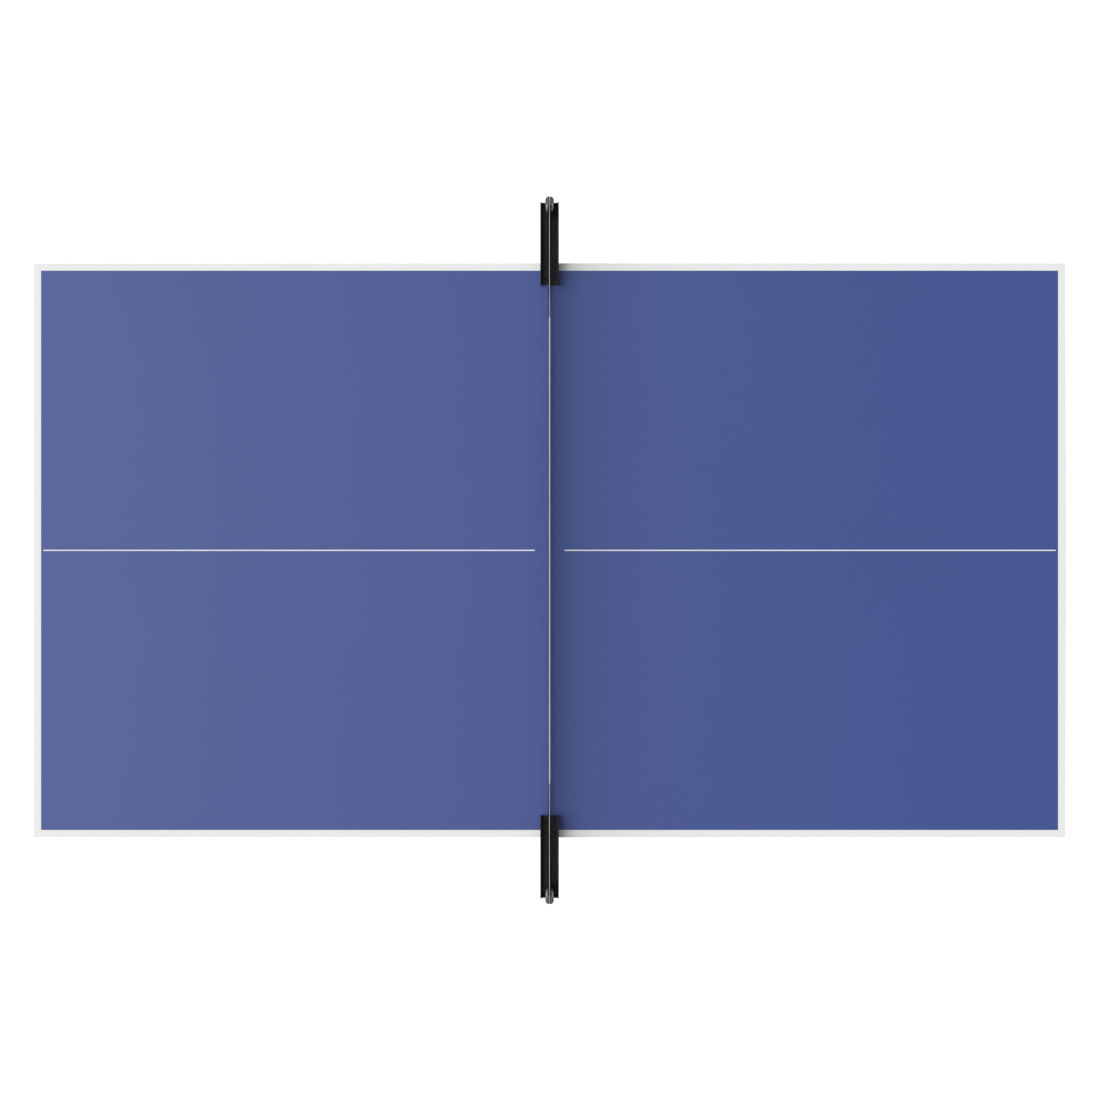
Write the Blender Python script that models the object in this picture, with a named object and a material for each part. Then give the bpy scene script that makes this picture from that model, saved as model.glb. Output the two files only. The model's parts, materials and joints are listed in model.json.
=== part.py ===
"""Rollaway table tennis table whose two halves fold up round a standing net.

Metres, +Z up. +X runs along the length of the table and +Y across it. The
origin is on the floor below the middle of the net. A trolley on casters
carries the net and the two main hinges. Each half turns on its hinge pins until
it stands upright, and a pair of link rods keeps its end legs upright as it goes.
"""

import math

import bmesh
import bpy
from mathutils import Matrix, Vector

# Playing surface
TABLE_LENGTH = 2.740
TABLE_WIDTH = 1.525
TABLE_HEIGHT = 0.760
PANEL_THICKNESS = 0.019

# Clearances
TOUCH_GAP = 0.0003
PIN_CLEARANCE = 0.0005
SEAM_CLEARANCE = 0.0007
SIDE_CLEARANCE = 0.004
ROD_CLEARANCE = 0.005
WELD_OVERLAP = 0.001
MERGE_DISTANCE = 0.000001

# Number of flats on round pieces
FINE_ROUND = 20
MEDIUM_ROUND = 16
COARSE_ROUND = 12

# Apron rails, rectangular tube under the edges of each half
RAIL_WIDTH = 0.025
RAIL_HEIGHT = 0.040
RAIL_WALL = 0.002
RAIL_INSET = 0.008

# Main hinges
HINGE_X = 0.280
HINGE_PIN_DIAMETER = 0.010
PIN_HEAD_DIAMETER = 0.018
PIN_HEAD_THICKNESS = 0.004
EAR_WALL = 0.006
EAR_CLEARANCE = 0.002

# Trolley
COLUMN_X = 0.330
COLUMN_DEPTH = 0.040
COLUMN_WIDTH = 0.025
COLUMN_WALL = 0.002
GUSSET_THICKNESS = 0.006
BEAM_SIZE = 0.030
BEAM_WALL = 0.002
BEAM_OVERHANG = 0.060
CROSS_TUBE_X = 0.200

# End legs and their link rods
LEG_FROM_END = 0.250
LEG_DIAMETER = 0.030
LEG_WALL = 0.0015
LEG_TOP_CLEARANCE = 0.010
LEG_PLUG_HEIGHT = 0.020
LEG_STUB_DIAMETER = 0.022
LEG_PIN_DIAMETER = 0.010
CROSSBAR_DIAMETER = 0.025
CROSSBAR_HEIGHT = 0.300
LINK_DROP = 0.150
LINK_DIAMETER = 0.012
LINK_STUD_DIAMETER = 0.008
OPEN_PIVOT_CLEARANCE = 0.001

# Levelling feet
FOOT_ROD_GAP = 0.002
FOOT_PAD_HEIGHT = 0.012
FOOT_STEM_DIAMETER = 0.010
FOOT_STEM_LENGTH = 0.070
FOOT_TRAVEL = 0.015
FOOT_MARGIN = 0.003

# Casters
WHEEL_DIAMETER = 0.100
WHEEL_WIDTH = 0.022
WHEEL_HUB_SHARE = 0.30
WHEEL_RIM_SHARE = 0.74
AXLE_DIAMETER = 0.008
CASTER_TRAIL = 0.032
FORK_SIDE_GAP = 0.0035
FORK_PLATE = 0.003
FORK_TOP_GAP = 0.010
FORK_HALF_LENGTH = 0.021
SWIVEL_DIAMETER = 0.036
SWIVEL_HEIGHT = 0.020
STEM_DIAMETER = 0.012
STEM_LENGTH = 0.018
BRAKE_PIN_DIAMETER = 0.006
BRAKE_HUB_DIAMETER = 0.013
BRAKE_PEDAL_LENGTH = 0.066
BRAKE_SHOE_X = 0.0104
BRAKE_SHOE_GAP = 0.0022

# Net, posts and arms
NET_HEIGHT = 0.1525
NET_OVERHANG = 0.1525
NET_THICKNESS = 0.002
TAPE_HEIGHT = 0.015
TAPE_THICKNESS = 0.0034
ARM_WIDTH = 0.048
ARM_PLATE = 0.003
ARM_FLANGE = 0.025
ARM_OVERLAP = 0.058
ARM_REACH = 0.1585
ARM_LIFT = 0.0015
POST_DIAMETER = 0.020
POST_WALL = 0.002
CAP_DIAMETER = 0.023
CAP_HEIGHT = 0.018
CAP_BEVEL = 0.002
SUPPORT_DIAMETER = 0.030
SUPPORT_WALL = 0.002
SUPPORT_SIDE_GAP = 0.0175
SUPPORT_BEND_START = 0.500
SUPPORT_BEND_END = 0.600
SUPPORT_STATIONS = 8

# Storage hooks
HOOK_X = 0.245
HOOK_THICKNESS = 0.004
HOOK_WIDTH = 0.016
HOOK_SCREW_DIAMETER = 0.006
HOOK_ANGLE = 45.0
HOOK_STUD_DIAMETER = 0.008
HOOK_STUD_CLEARANCE = 0.001

# Places that follow from the sizes above
HALF_LENGTH = TABLE_LENGTH / 2
HALF_WIDTH = TABLE_WIDTH / 2
UNDERSIDE_Z = TABLE_HEIGHT - PANEL_THICKNESS
HINGE_Z = UNDERSIDE_Z - EAR_CLEARANCE - EAR_WALL - HINGE_PIN_DIAMETER / 2
SEAM_HALF = math.hypot(HINGE_X, TABLE_HEIGHT - HINGE_Z) - HINGE_X + SEAM_CLEARANCE
RAIL_TOP_Z = UNDERSIDE_Z - TOUCH_GAP
RAIL_Z = RAIL_TOP_Z - RAIL_HEIGHT / 2
RAIL_OUTER_Y = HALF_WIDTH - RAIL_INSET
RAIL_INNER_Y = RAIL_OUTER_Y - RAIL_WIDTH
RAIL_START_X = SEAM_HALF + RAIL_INSET
RAIL_END_X = HALF_LENGTH - RAIL_INSET

GUSSET_OUTER_Y = RAIL_INNER_Y - SIDE_CLEARANCE
GUSSET_INNER_Y = GUSSET_OUTER_Y - GUSSET_THICKNESS
COLUMN_Y = GUSSET_INNER_Y + WELD_OVERLAP - COLUMN_WIDTH / 2
COLUMN_TOP_Z = HINGE_Z + HINGE_PIN_DIAMETER / 2 + EAR_WALL / 2
LINK_Y = COLUMN_Y - COLUMN_WIDTH / 2 - ROD_CLEARANCE - LINK_DIAMETER / 2
LINK_Z = HINGE_Z - LINK_DROP

LEG_X = HALF_LENGTH - LEG_FROM_END
LEG_Y = LINK_Y - LINK_DIAMETER / 2 - ROD_CLEARANCE - LEG_DIAMETER / 2
LEG_PIVOT_Z = UNDERSIDE_Z - LEG_TOP_CLEARANCE - LEG_DIAMETER / 2
LEG_TOP_Z = LEG_PIVOT_Z + LEG_DIAMETER / 2
FOOT_DIAMETER = LEG_DIAMETER + 2 * (ROD_CLEARANCE - FOOT_ROD_GAP)
LEG_BOTTOM_Z = FOOT_PAD_HEIGHT + FOOT_TRAVEL + FOOT_MARGIN
LINK_SLOPE = math.atan2(HINGE_Z - LEG_PIVOT_Z, LEG_X - HINGE_X)
LINK_LENGTH = math.hypot(HINGE_Z - LEG_PIVOT_Z, LEG_X - HINGE_X)

WHEEL_RADIUS = WHEEL_DIAMETER / 2
FORK_INNER = WHEEL_WIDTH / 2 + FORK_SIDE_GAP
FORK_OUTER = FORK_INNER + FORK_PLATE
FORK_TOP_Z = WHEEL_DIAMETER + FORK_TOP_GAP + FORK_PLATE
BEAM_BOTTOM_Z = FORK_TOP_Z + SWIVEL_HEIGHT + TOUCH_GAP
BEAM_Z = BEAM_BOTTOM_Z + BEAM_SIZE / 2
BEAM_TOP_Z = BEAM_BOTTOM_Z + BEAM_SIZE
BRAKE_PIN_X = CASTER_TRAIL
BRAKE_PIN_Z = WHEEL_DIAMETER + FORK_TOP_GAP / 2 + BRAKE_HUB_DIAMETER / 2

ARM_BOTTOM_Z = TABLE_HEIGHT + ARM_LIFT
ARM_FLOOR_Z = ARM_BOTTOM_Z + ARM_PLATE
NET_TOP_Z = TABLE_HEIGHT + NET_HEIGHT
POST_Y = HALF_WIDTH + NET_OVERHANG - CAP_DIAMETER / 2
SUPPORT_TOP_Y = HALF_WIDTH + SUPPORT_SIDE_GAP + SUPPORT_DIAMETER / 2

HOOK_Y = RAIL_OUTER_Y + PIN_CLEARANCE + HOOK_THICKNESS / 2
HOOK_REACH = (COLUMN_X - HINGE_X - (HINGE_Z - RAIL_Z)) / math.sin(math.radians(HOOK_ANGLE))
HOOK_STUD_Z = HINGE_Z - (HINGE_X - HOOK_X) - HOOK_REACH * math.cos(math.radians(HOOK_ANGLE))

SIDES = (("left", -1), ("right", 1))
ROWS = (("front", -1), ("back", 1))
BRAKED_ROW = "front"
HOOKED_ROW = "front"


# ---------------------------------------------------------------- shapes


def finished(shape):
    """Merge the points that coincide and turn every face outward."""
    bmesh.ops.remove_doubles(shape, verts=shape.verts, dist=MERGE_DISTANCE)
    bmesh.ops.recalc_face_normals(shape, faces=shape.faces)
    return shape


def bridge(shape, first, second):
    """Add the faces between two closed loops with the same number of points."""
    following = zip(first[1:] + first[:1], second[1:] + second[:1])
    for a, d, (b, c) in zip(first, second, following):
        shape.faces.new((a, b, c, d))


def box(length, width, height, centre=(0, 0, 0)):
    """Solid block."""
    shape = bmesh.new()
    bmesh.ops.create_cube(shape, size=1.0)
    bmesh.ops.scale(shape, vec=(length, width, height), verts=shape.verts)
    bmesh.ops.translate(shape, vec=centre, verts=shape.verts)
    return shape


def rectangle(width, height):
    """Corners of a rectangle about its middle."""
    return [(sx * width / 2, sy * height / 2) for sx, sy in ((-1, -1), (1, -1), (1, 1), (-1, 1))]


def arc(centre, radius, start, end, steps):
    """Points of an arc, with its angles in degrees."""
    angles = [math.radians(start + (end - start) * i / steps) for i in range(steps + 1)]
    return [(centre[0] + radius * math.cos(a), centre[1] + radius * math.sin(a)) for a in angles]


def circle(diameter, segments):
    """Points of a circle about its middle."""
    return arc((0, 0), diameter / 2, 0, 360, segments)[:-1]


def swept_tube(stations, outer, inner):
    """Open-ended tube whose section, in each station's YZ plane, is carried along the stations."""
    shape = bmesh.new()
    outside = [(station, outer) for station in stations]
    inside = [(station, inner) for station in reversed(stations)]
    loops = []
    for station, outline in outside + inside:
        loops.append([shape.verts.new(station @ Vector((0, u, v))) for u, v in outline])
    for first, second in zip(loops, loops[1:] + loops[:1]):
        bridge(shape, first, second)
    return finished(shape)


def straight_tube(length, outer, inner):
    """Open-ended tube along X, about its middle."""
    ends = [Matrix.Translation((x, 0, 0)) for x in (-length / 2, length / 2)]
    return swept_tube(ends, outer, inner)


def rectangular_tube(length, width, height, wall):
    """Open-ended rectangular tube along X."""
    inner = rectangle(width - 2 * wall, height - 2 * wall)
    return straight_tube(length, rectangle(width, height), inner)


def round_tube(length, diameter, wall, segments):
    """Open-ended round tube along X."""
    inner = circle(diameter - 2 * wall, segments)
    return straight_tube(length, circle(diameter, segments), inner)


def prism(outline, thickness, middle=0.0):
    """Plate with an outline of (x, z) points, with its thickness along Y."""
    shape = bmesh.new()
    faces = []
    for y in (middle - thickness / 2, middle + thickness / 2):
        faces.append([shape.verts.new((x, y, z)) for x, z in outline])
    for loop in faces:
        shape.faces.new(loop)
    bridge(shape, *faces)
    return finished(shape)


def turned(outline, segments):
    """Solid of revolution about Z. The outline of (radius, height) points is closed, or
    starts and ends on the axis."""
    shape = bmesh.new()
    points = [shape.verts.new((radius, 0, height)) for radius, height in outline]
    edges = [shape.edges.new(pair) for pair in zip(points, points[1:])]
    if outline[0][0] > 0:
        edges.append(shape.edges.new((points[-1], points[0])))
    bmesh.ops.spin(
        shape,
        geom=points + edges,
        cent=(0, 0, 0),
        axis=(0, 0, 1),
        angle=math.tau,
        steps=segments,
        use_merge=True,
    )
    return finished(shape)


def cylinder(diameter, low, high, segments):
    """Solid cylinder about Z."""
    radius = diameter / 2
    return turned([(0, low), (radius, low), (radius, high), (0, high)], segments)


def along_y(shape):
    """Turn a shape made about Z so that it lies about Y."""
    bmesh.ops.rotate(shape, matrix=Matrix.Rotation(-math.pi / 2, 3, "X"), verts=shape.verts)
    return shape


def y_pin(diameter, low, high, x=0.0, z=0.0, segments=COARSE_ROUND):
    """Solid cylinder about a line along Y, between two values of Y."""
    shape = along_y(cylinder(diameter, low, high, segments))
    bmesh.ops.translate(shape, vec=(x, 0, z), verts=shape.verts)
    return shape


def moved(shape, offset):
    """Move a shape."""
    bmesh.ops.translate(shape, vec=offset, verts=shape.verts)
    return shape


def mirrored(shape, side, row):
    """Mirror a shape that was made for the right-hand side at the back."""
    bmesh.ops.scale(shape, vec=(side, row, 1), verts=shape.verts)
    if side * row < 0:
        bmesh.ops.reverse_faces(shape, faces=shape.faces)
    return shape


def loose_object(shape):
    """Object that holds a shape for a Boolean."""
    mesh = bpy.data.meshes.new("shape")
    shape.to_mesh(mesh)
    shape.free()
    obj = bpy.data.objects.new("shape", mesh)
    bpy.context.collection.objects.link(obj)
    return obj


def combined(base, joins=(), cuts=()):
    """Shape with other shapes joined to it, and then others cut from it."""
    body = loose_object(base)
    tools = []
    for operation, shapes in (("UNION", joins), ("DIFFERENCE", cuts)):
        for shape in shapes:
            tool = loose_object(shape)
            modifier = body.modifiers.new(operation, "BOOLEAN")
            modifier.operation = operation
            modifier.solver = "EXACT"
            modifier.object = tool
            tools.append(tool)
    graph = bpy.context.evaluated_depsgraph_get()
    mesh = bpy.data.meshes.new_from_object(body.evaluated_get(graph))
    result = bmesh.new()
    result.from_mesh(mesh)
    bmesh.ops.remove_doubles(result, verts=result.verts, dist=MERGE_DISTANCE)
    bpy.data.meshes.remove(mesh)
    for obj in (body, *tools):
        bpy.data.meshes.remove(obj.data)
    return result


# ---------------------------------------------------------------- scene


def clear_scene():
    """Remove what the start-up file holds."""
    for obj in list(bpy.data.objects):
        bpy.data.objects.remove(obj, do_unlink=True)


def make_material(name, colour, roughness, metallic):
    """Principled material."""
    material = bpy.data.materials.new(name)
    material.use_nodes = True
    shader = material.node_tree.nodes["Principled BSDF"]
    shader.inputs["Base Color"].default_value = (*colour, 1)
    shader.inputs["Roughness"].default_value = roughness
    shader.inputs["Metallic"].default_value = metallic
    return material


def make_materials():
    """Every material, by name."""
    table = {
        "playing_surface": ((0.075, 0.105, 0.28), 0.5, 0.0),
        "frame_steel": ((0.05, 0.052, 0.058), 0.45, 0.6),
        "black_steel": ((0.008, 0.008, 0.008), 0.4, 0.5),
        "zinc": ((0.55, 0.56, 0.58), 0.35, 1.0),
        "chrome": ((0.6, 0.6, 0.62), 0.15, 1.0),
        "rubber": ((0.02, 0.02, 0.02), 0.8, 0.0),
        "tyre": ((0.09, 0.09, 0.095), 0.7, 0.0),
        "black_plastic": ((0.015, 0.015, 0.016), 0.5, 0.0),
        "net_cord": ((0.03, 0.035, 0.04), 0.9, 0.0),
        "net_tape": ((0.8, 0.8, 0.8), 0.85, 0.0),
    }
    return {name: make_material(name, *values) for name, values in table.items()}


def pivot(name, at, parent=None):
    """Empty on a joint's axis, which the pieces that turn with it hang from."""
    empty = bpy.data.objects.new(name, None)
    empty.empty_display_size = 0.05
    bpy.context.collection.objects.link(empty)
    attach(empty, parent)
    empty.location = at
    bpy.context.view_layer.update()
    return empty


def attach(obj, parent):
    """Parent an object without moving it."""
    if parent:
        obj.parent = parent
        obj.matrix_parent_inverse = parent.matrix_world.inverted()


def place(name, shape, material, at, parent=None, turn=0.0):
    """Object made from a shape, with its origin at a place in the world."""
    mesh = bpy.data.meshes.new(name)
    shape.to_mesh(mesh)
    shape.free()
    mesh.materials.append(material)
    mesh.shade_smooth()
    mesh.set_sharp_from_angle(angle=math.radians(35))
    obj = bpy.data.objects.new(name, mesh)
    bpy.context.collection.objects.link(obj)
    attach(obj, parent)
    obj.location = at
    obj.rotation_euler.y = turn
    return obj


# ---------------------------------------------------------------- halves of the table


def tabletop_shape():
    """Board of one half."""
    return box(HALF_LENGTH - SEAM_HALF, TABLE_WIDTH, PANEL_THICKNESS)


def side_rail_shape(side, row, hooked):
    """Rail under a long edge, with holes for the hinge pin, the leg's pin and the hook's screw."""
    length = RAIL_END_X - RAIL_START_X
    middle_x = (RAIL_START_X + RAIL_END_X) / 2
    rail = rectangular_tube(length, RAIL_WIDTH, RAIL_HEIGHT, RAIL_WALL)
    reach = RAIL_WIDTH
    hinge_hole = HINGE_PIN_DIAMETER + 2 * PIN_CLEARANCE
    leg_hole = LEG_PIN_DIAMETER + 2 * PIN_CLEARANCE
    cuts = [
        y_pin(hinge_hole, -reach, reach, HINGE_X - middle_x, HINGE_Z - RAIL_Z),
        y_pin(leg_hole, -reach, reach, LEG_X - middle_x, LEG_PIVOT_Z - RAIL_Z),
    ]
    if hooked:
        screw_hole = HOOK_SCREW_DIAMETER + 2 * PIN_CLEARANCE
        cuts.append(y_pin(screw_hole, 0, reach, HOOK_X - middle_x, 0))
    return mirrored(combined(rail, cuts=cuts), side, row)


def cross_rail_shape():
    """Rail between the two side rails."""
    length = 2 * (RAIL_INNER_Y - TOUCH_GAP)
    shape = rectangular_tube(length, RAIL_WIDTH, RAIL_HEIGHT, RAIL_WALL)
    bmesh.ops.rotate(shape, matrix=Matrix.Rotation(math.pi / 2, 3, "Z"), verts=shape.verts)
    return shape


def leg_pin_shape(side, row):
    """Headed pin that a leg turns on, about its origin on the rail's outer face."""
    inner_end = LEG_Y + LEG_DIAMETER / 2 - RAIL_OUTER_Y
    radius = LEG_PIN_DIAMETER / 2
    head = PIN_HEAD_DIAMETER / 2
    outline = [
        (0, inner_end),
        (radius, inner_end),
        (radius, TOUCH_GAP),
        (head, TOUCH_GAP),
        (head, TOUCH_GAP + PIN_HEAD_THICKNESS),
        (0, TOUCH_GAP + PIN_HEAD_THICKNESS),
    ]
    return mirrored(along_y(turned(outline, COARSE_ROUND)), side, row)


def hook_shape(side, row):
    """Hook with its pivot screw, and a notch in its lower edge for the stud."""
    half = HOOK_WIDTH / 2
    notch = HOOK_STUD_DIAMETER / 2 + HOOK_STUD_CLEARANCE
    tip = HOOK_REACH + notch + half / 2
    outline = arc((0, 0), half, -90, 90, 8)
    outline += arc((half / 2 - tip, half / 2), half / 2, 90, 180, 4)
    outline += arc((half / 2 - tip, -half / 2), half / 2, 180, 270, 4)
    plate = prism(outline, HOOK_THICKNESS)
    depth = HOOK_THICKNESS * 2
    slot = box(2 * notch, depth, half * 2, (-HOOK_REACH, 0, -half))
    slot_end = y_pin(2 * notch, -depth / 2, depth / 2, -HOOK_REACH, 0)
    screw_end = RAIL_OUTER_Y - RAIL_WALL * 2 - HOOK_Y
    screw = y_pin(HOOK_SCREW_DIAMETER, screw_end, 0)
    return mirrored(combined(plate, joins=[screw], cuts=[slot, slot_end]), side, row)


def build_half(side_name, side, materials):
    """Board and apron of one half, with what is fastened to them. Returns its hinge."""
    steel = materials["frame_steel"]
    hinge = pivot(f"half_{side_name}_hinge", (side * HINGE_X, 0, HINGE_Z))
    board_x = side * (SEAM_HALF + HALF_LENGTH) / 2
    board_z = TABLE_HEIGHT - PANEL_THICKNESS / 2
    surface = materials["playing_surface"]
    place(f"tabletop_{side_name}", tabletop_shape(), surface, (board_x, 0, board_z), hinge)
    cross_rails = (("inner", RAIL_START_X + RAIL_WIDTH / 2), ("end", RAIL_END_X - RAIL_WIDTH / 2))
    for name, x in cross_rails:
        place(f"{name}_rail_{side_name}", cross_rail_shape(), steel, (side * x, 0, RAIL_Z), hinge)
    for row_name, row in ROWS:
        suffix = f"{side_name}_{row_name}"
        hooked = row_name == HOOKED_ROW
        rail = side_rail_shape(side, row, hooked)
        middle_x = side * (RAIL_START_X + RAIL_END_X) / 2
        rail_y = row * (RAIL_OUTER_Y - RAIL_WIDTH / 2)
        place(f"side_rail_{suffix}", rail, steel, (middle_x, rail_y, RAIL_Z), hinge)
        pin_at = (side * LEG_X, row * RAIL_OUTER_Y, LEG_PIVOT_Z)
        place(f"leg_pin_{suffix}", leg_pin_shape(side, row), materials["zinc"], pin_at, hinge)
        if hooked:
            hook_at = (side * HOOK_X, row * HOOK_Y, RAIL_Z)
            hook = hook_shape(side, row)
            place(f"storage_hook_{side_name}", hook, materials["zinc"], hook_at, hinge)
    return hinge


# ---------------------------------------------------------------- end legs


def leg_shape(side, row):
    """Leg tube about its foot's axis, with its top stub, its plug and the link rod's hole."""
    radius = LEG_DIAMETER / 2
    inner = radius - LEG_WALL
    bore = FOOT_STEM_DIAMETER / 2 + PIN_CLEARANCE
    plug_top = LEG_BOTTOM_Z + LEG_PLUG_HEIGHT
    outline = [
        (bore, LEG_BOTTOM_Z),
        (radius, LEG_BOTTOM_Z),
        (radius, LEG_TOP_Z),
        (inner, LEG_TOP_Z),
        (inner, plug_top),
        (bore, plug_top),
    ]
    tube = turned(outline, MEDIUM_ROUND)
    stub_end = RAIL_INNER_Y - PIN_CLEARANCE - LEG_Y
    stub = y_pin(LEG_STUB_DIAMETER, -LEG_WALL, stub_end, z=LEG_PIVOT_Z, segments=MEDIUM_ROUND)
    bore_start = LEG_WALL
    bore_size = LEG_PIN_DIAMETER + 2 * PIN_CLEARANCE
    pin_bore = y_pin(bore_size, bore_start, 2 * stub_end, z=LEG_PIVOT_Z)
    stud_hole = LINK_STUD_DIAMETER + 2 * OPEN_PIVOT_CLEARANCE
    link_bore = y_pin(stud_hole, 0, LEG_DIAMETER, z=LEG_PIVOT_Z - LINK_DROP)
    return mirrored(combined(tube, joins=[stub], cuts=[pin_bore, link_bore]), side, row)


def crossbar_shape():
    """Tube between the two legs of an end, with its ends cut round to fit them."""
    bar = round_tube(2 * LEG_Y, CROSSBAR_DIAMETER, LEG_WALL, COARSE_ROUND)
    bmesh.ops.rotate(bar, matrix=Matrix.Rotation(math.pi / 2, 3, "Z"), verts=bar.verts)
    saddle = LEG_DIAMETER + 2 * TOUCH_GAP
    cuts = []
    for row in (-1, 1):
        cutter = cylinder(saddle, -LEG_DIAMETER, LEG_DIAMETER, MEDIUM_ROUND)
        cuts.append(moved(cutter, (0, row * LEG_Y, 0)))
    return combined(bar, cuts=cuts)


def foot_shape():
    """Levelling foot about its axis: a pad with a threaded stem."""
    pad = FOOT_DIAMETER / 2
    stem = FOOT_STEM_DIAMETER / 2
    shoulder = FOOT_PAD_HEIGHT / 3
    outline = [
        (0, 0),
        (pad, 0),
        (pad, shoulder),
        (pad - shoulder, 2 * shoulder),
        (2 * stem, FOOT_PAD_HEIGHT),
        (stem, FOOT_PAD_HEIGHT),
        (stem, FOOT_STEM_LENGTH),
        (0, FOOT_STEM_LENGTH),
    ]
    return turned(outline, MEDIUM_ROUND)


def build_legs(side_name, side, materials, hinge):
    """Pair of legs at one end with their crossbar and feet."""
    steel = materials["frame_steel"]
    axis = pivot(f"legs_{side_name}_pivot", (side * LEG_X, 0, LEG_PIVOT_Z), hinge)
    bar_at = (side * LEG_X, 0, CROSSBAR_HEIGHT)
    place(f"leg_crossbar_{side_name}", crossbar_shape(), steel, bar_at, axis)
    for row_name, row in ROWS:
        suffix = f"{side_name}_{row_name}"
        foot_at = (side * LEG_X, row * LEG_Y, 0)
        place(f"leg_{suffix}", leg_shape(side, row), steel, foot_at, axis)
        place(f"levelling_foot_{suffix}", foot_shape(), materials["rubber"], foot_at, axis)


def link_shape(side, row):
    """Link rod along X from the trolley's pivot, with a stud outward there and inward at the leg."""
    radius = LINK_DIAMETER / 2
    rod = cylinder(LINK_DIAMETER, 0, LINK_LENGTH, COARSE_ROUND)
    bmesh.ops.rotate(rod, matrix=Matrix.Rotation(math.pi / 2, 3, "Y"), verts=rod.verts)
    outer_stud_end = GUSSET_OUTER_Y - LINK_Y
    inner_stud_end = LEG_Y + LEG_DIAMETER / 2 - 2 * LEG_WALL - LINK_Y
    joins = [
        y_pin(LINK_DIAMETER + LINK_STUD_DIAMETER / 2, -radius, radius),
        y_pin(LINK_DIAMETER + LINK_STUD_DIAMETER / 2, -radius, radius, LINK_LENGTH),
        y_pin(LINK_STUD_DIAMETER, 0, outer_stud_end),
        y_pin(LINK_STUD_DIAMETER, inner_stud_end, 0, LINK_LENGTH),
    ]
    return mirrored(combined(rod, joins=joins), side, row)


def build_links(side_name, side, materials):
    """Two link rods of one half, which turn together on the trolley."""
    axis = pivot(f"links_{side_name}_pivot", (side * HINGE_X, 0, LINK_Z))
    for row_name, row in ROWS:
        name = f"link_rod_{side_name}_{row_name}"
        at = (side * HINGE_X, row * LINK_Y, LINK_Z)
        place(name, link_shape(side, row), materials["zinc"], at, axis, side * LINK_SLOPE)


# ---------------------------------------------------------------- trolley


def gusset_outline():
    """Plate on the column that holds the hinge pin and the link rod's stud."""
    ear = HINGE_PIN_DIAMETER / 2 + EAR_WALL
    outline = arc((HINGE_X, HINGE_Z), ear, 90, 180, 6)
    outline += arc((HINGE_X, LINK_Z), ear, 180, 270, 6)
    outline += [(COLUMN_X, LINK_Z - ear), (COLUMN_X, HINGE_Z + ear)]
    return outline


def column_shape(side, row, hooked):
    """Upright tube, closed at its top, with its gusset plate and the storage hook's stud."""
    bottom = BEAM_TOP_Z + TOUCH_GAP
    height = COLUMN_TOP_Z - bottom
    middle = (COLUMN_X, COLUMN_Y, bottom + height / 2)
    tube = box(COLUMN_DEPTH, COLUMN_WIDTH, height, middle)
    hollow_size = (COLUMN_DEPTH - 2 * COLUMN_WALL, COLUMN_WIDTH - 2 * COLUMN_WALL, height)
    hollow = box(*hollow_size, (COLUMN_X, COLUMN_Y, middle[2] - COLUMN_WALL))
    gusset_y = (GUSSET_OUTER_Y + GUSSET_INNER_Y) / 2
    shell = combined(tube, cuts=[hollow])
    joins = [prism(gusset_outline(), GUSSET_THICKNESS, gusset_y)]
    if hooked:
        stud_end = HOOK_Y + HOOK_THICKNESS / 2
        joins.append(y_pin(HOOK_STUD_DIAMETER, GUSSET_INNER_Y, stud_end, COLUMN_X, HOOK_STUD_Z))
    reach = (GUSSET_INNER_Y - GUSSET_THICKNESS, GUSSET_OUTER_Y + GUSSET_THICKNESS)
    hinge_hole = HINGE_PIN_DIAMETER + 2 * PIN_CLEARANCE
    link_hole = LINK_STUD_DIAMETER + 2 * PIN_CLEARANCE
    cuts = [
        y_pin(hinge_hole, *reach, HINGE_X, HINGE_Z),
        y_pin(link_hole, *reach, HINGE_X, LINK_Z),
    ]
    shape = combined(shell, joins=joins, cuts=cuts)
    shape = moved(shape, (-COLUMN_X, -COLUMN_Y, -bottom))
    return mirrored(shape, side, row)


def hinge_pin_shape(side, row):
    """Headed pin of a main hinge, about its origin on the rail's outer face."""
    inner_end = GUSSET_INNER_Y - HINGE_PIN_DIAMETER / 2 - RAIL_OUTER_Y
    radius = HINGE_PIN_DIAMETER / 2
    head = PIN_HEAD_DIAMETER / 2
    outline = [
        (0, inner_end),
        (radius, inner_end),
        (radius, TOUCH_GAP),
        (head, TOUCH_GAP),
        (head, TOUCH_GAP + PIN_HEAD_THICKNESS),
        (0, TOUCH_GAP + PIN_HEAD_THICKNESS),
    ]
    return mirrored(along_y(turned(outline, COARSE_ROUND)), side, row)


def base_beam_shape():
    """Beam along one side of the trolley, with a hole below for each caster's stem."""
    length = 2 * (COLUMN_X + BEAM_OVERHANG)
    beam = rectangular_tube(length, BEAM_SIZE, BEAM_SIZE, BEAM_WALL)
    hole = STEM_DIAMETER + 2 * PIN_CLEARANCE
    cuts = []
    for side in (-1, 1):
        cutter = cylinder(hole, -BEAM_SIZE, 0, COARSE_ROUND)
        cuts.append(moved(cutter, (side * COLUMN_X, 0, 0)))
    return combined(beam, cuts=cuts)


def cross_tube_shape():
    """Tube across the trolley between its two base beams."""
    length = 2 * (COLUMN_Y - BEAM_SIZE / 2 - TOUCH_GAP)
    shape = rectangular_tube(length, BEAM_SIZE, BEAM_SIZE, BEAM_WALL)
    bmesh.ops.rotate(shape, matrix=Matrix.Rotation(math.pi / 2, 3, "Z"), verts=shape.verts)
    return shape


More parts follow.
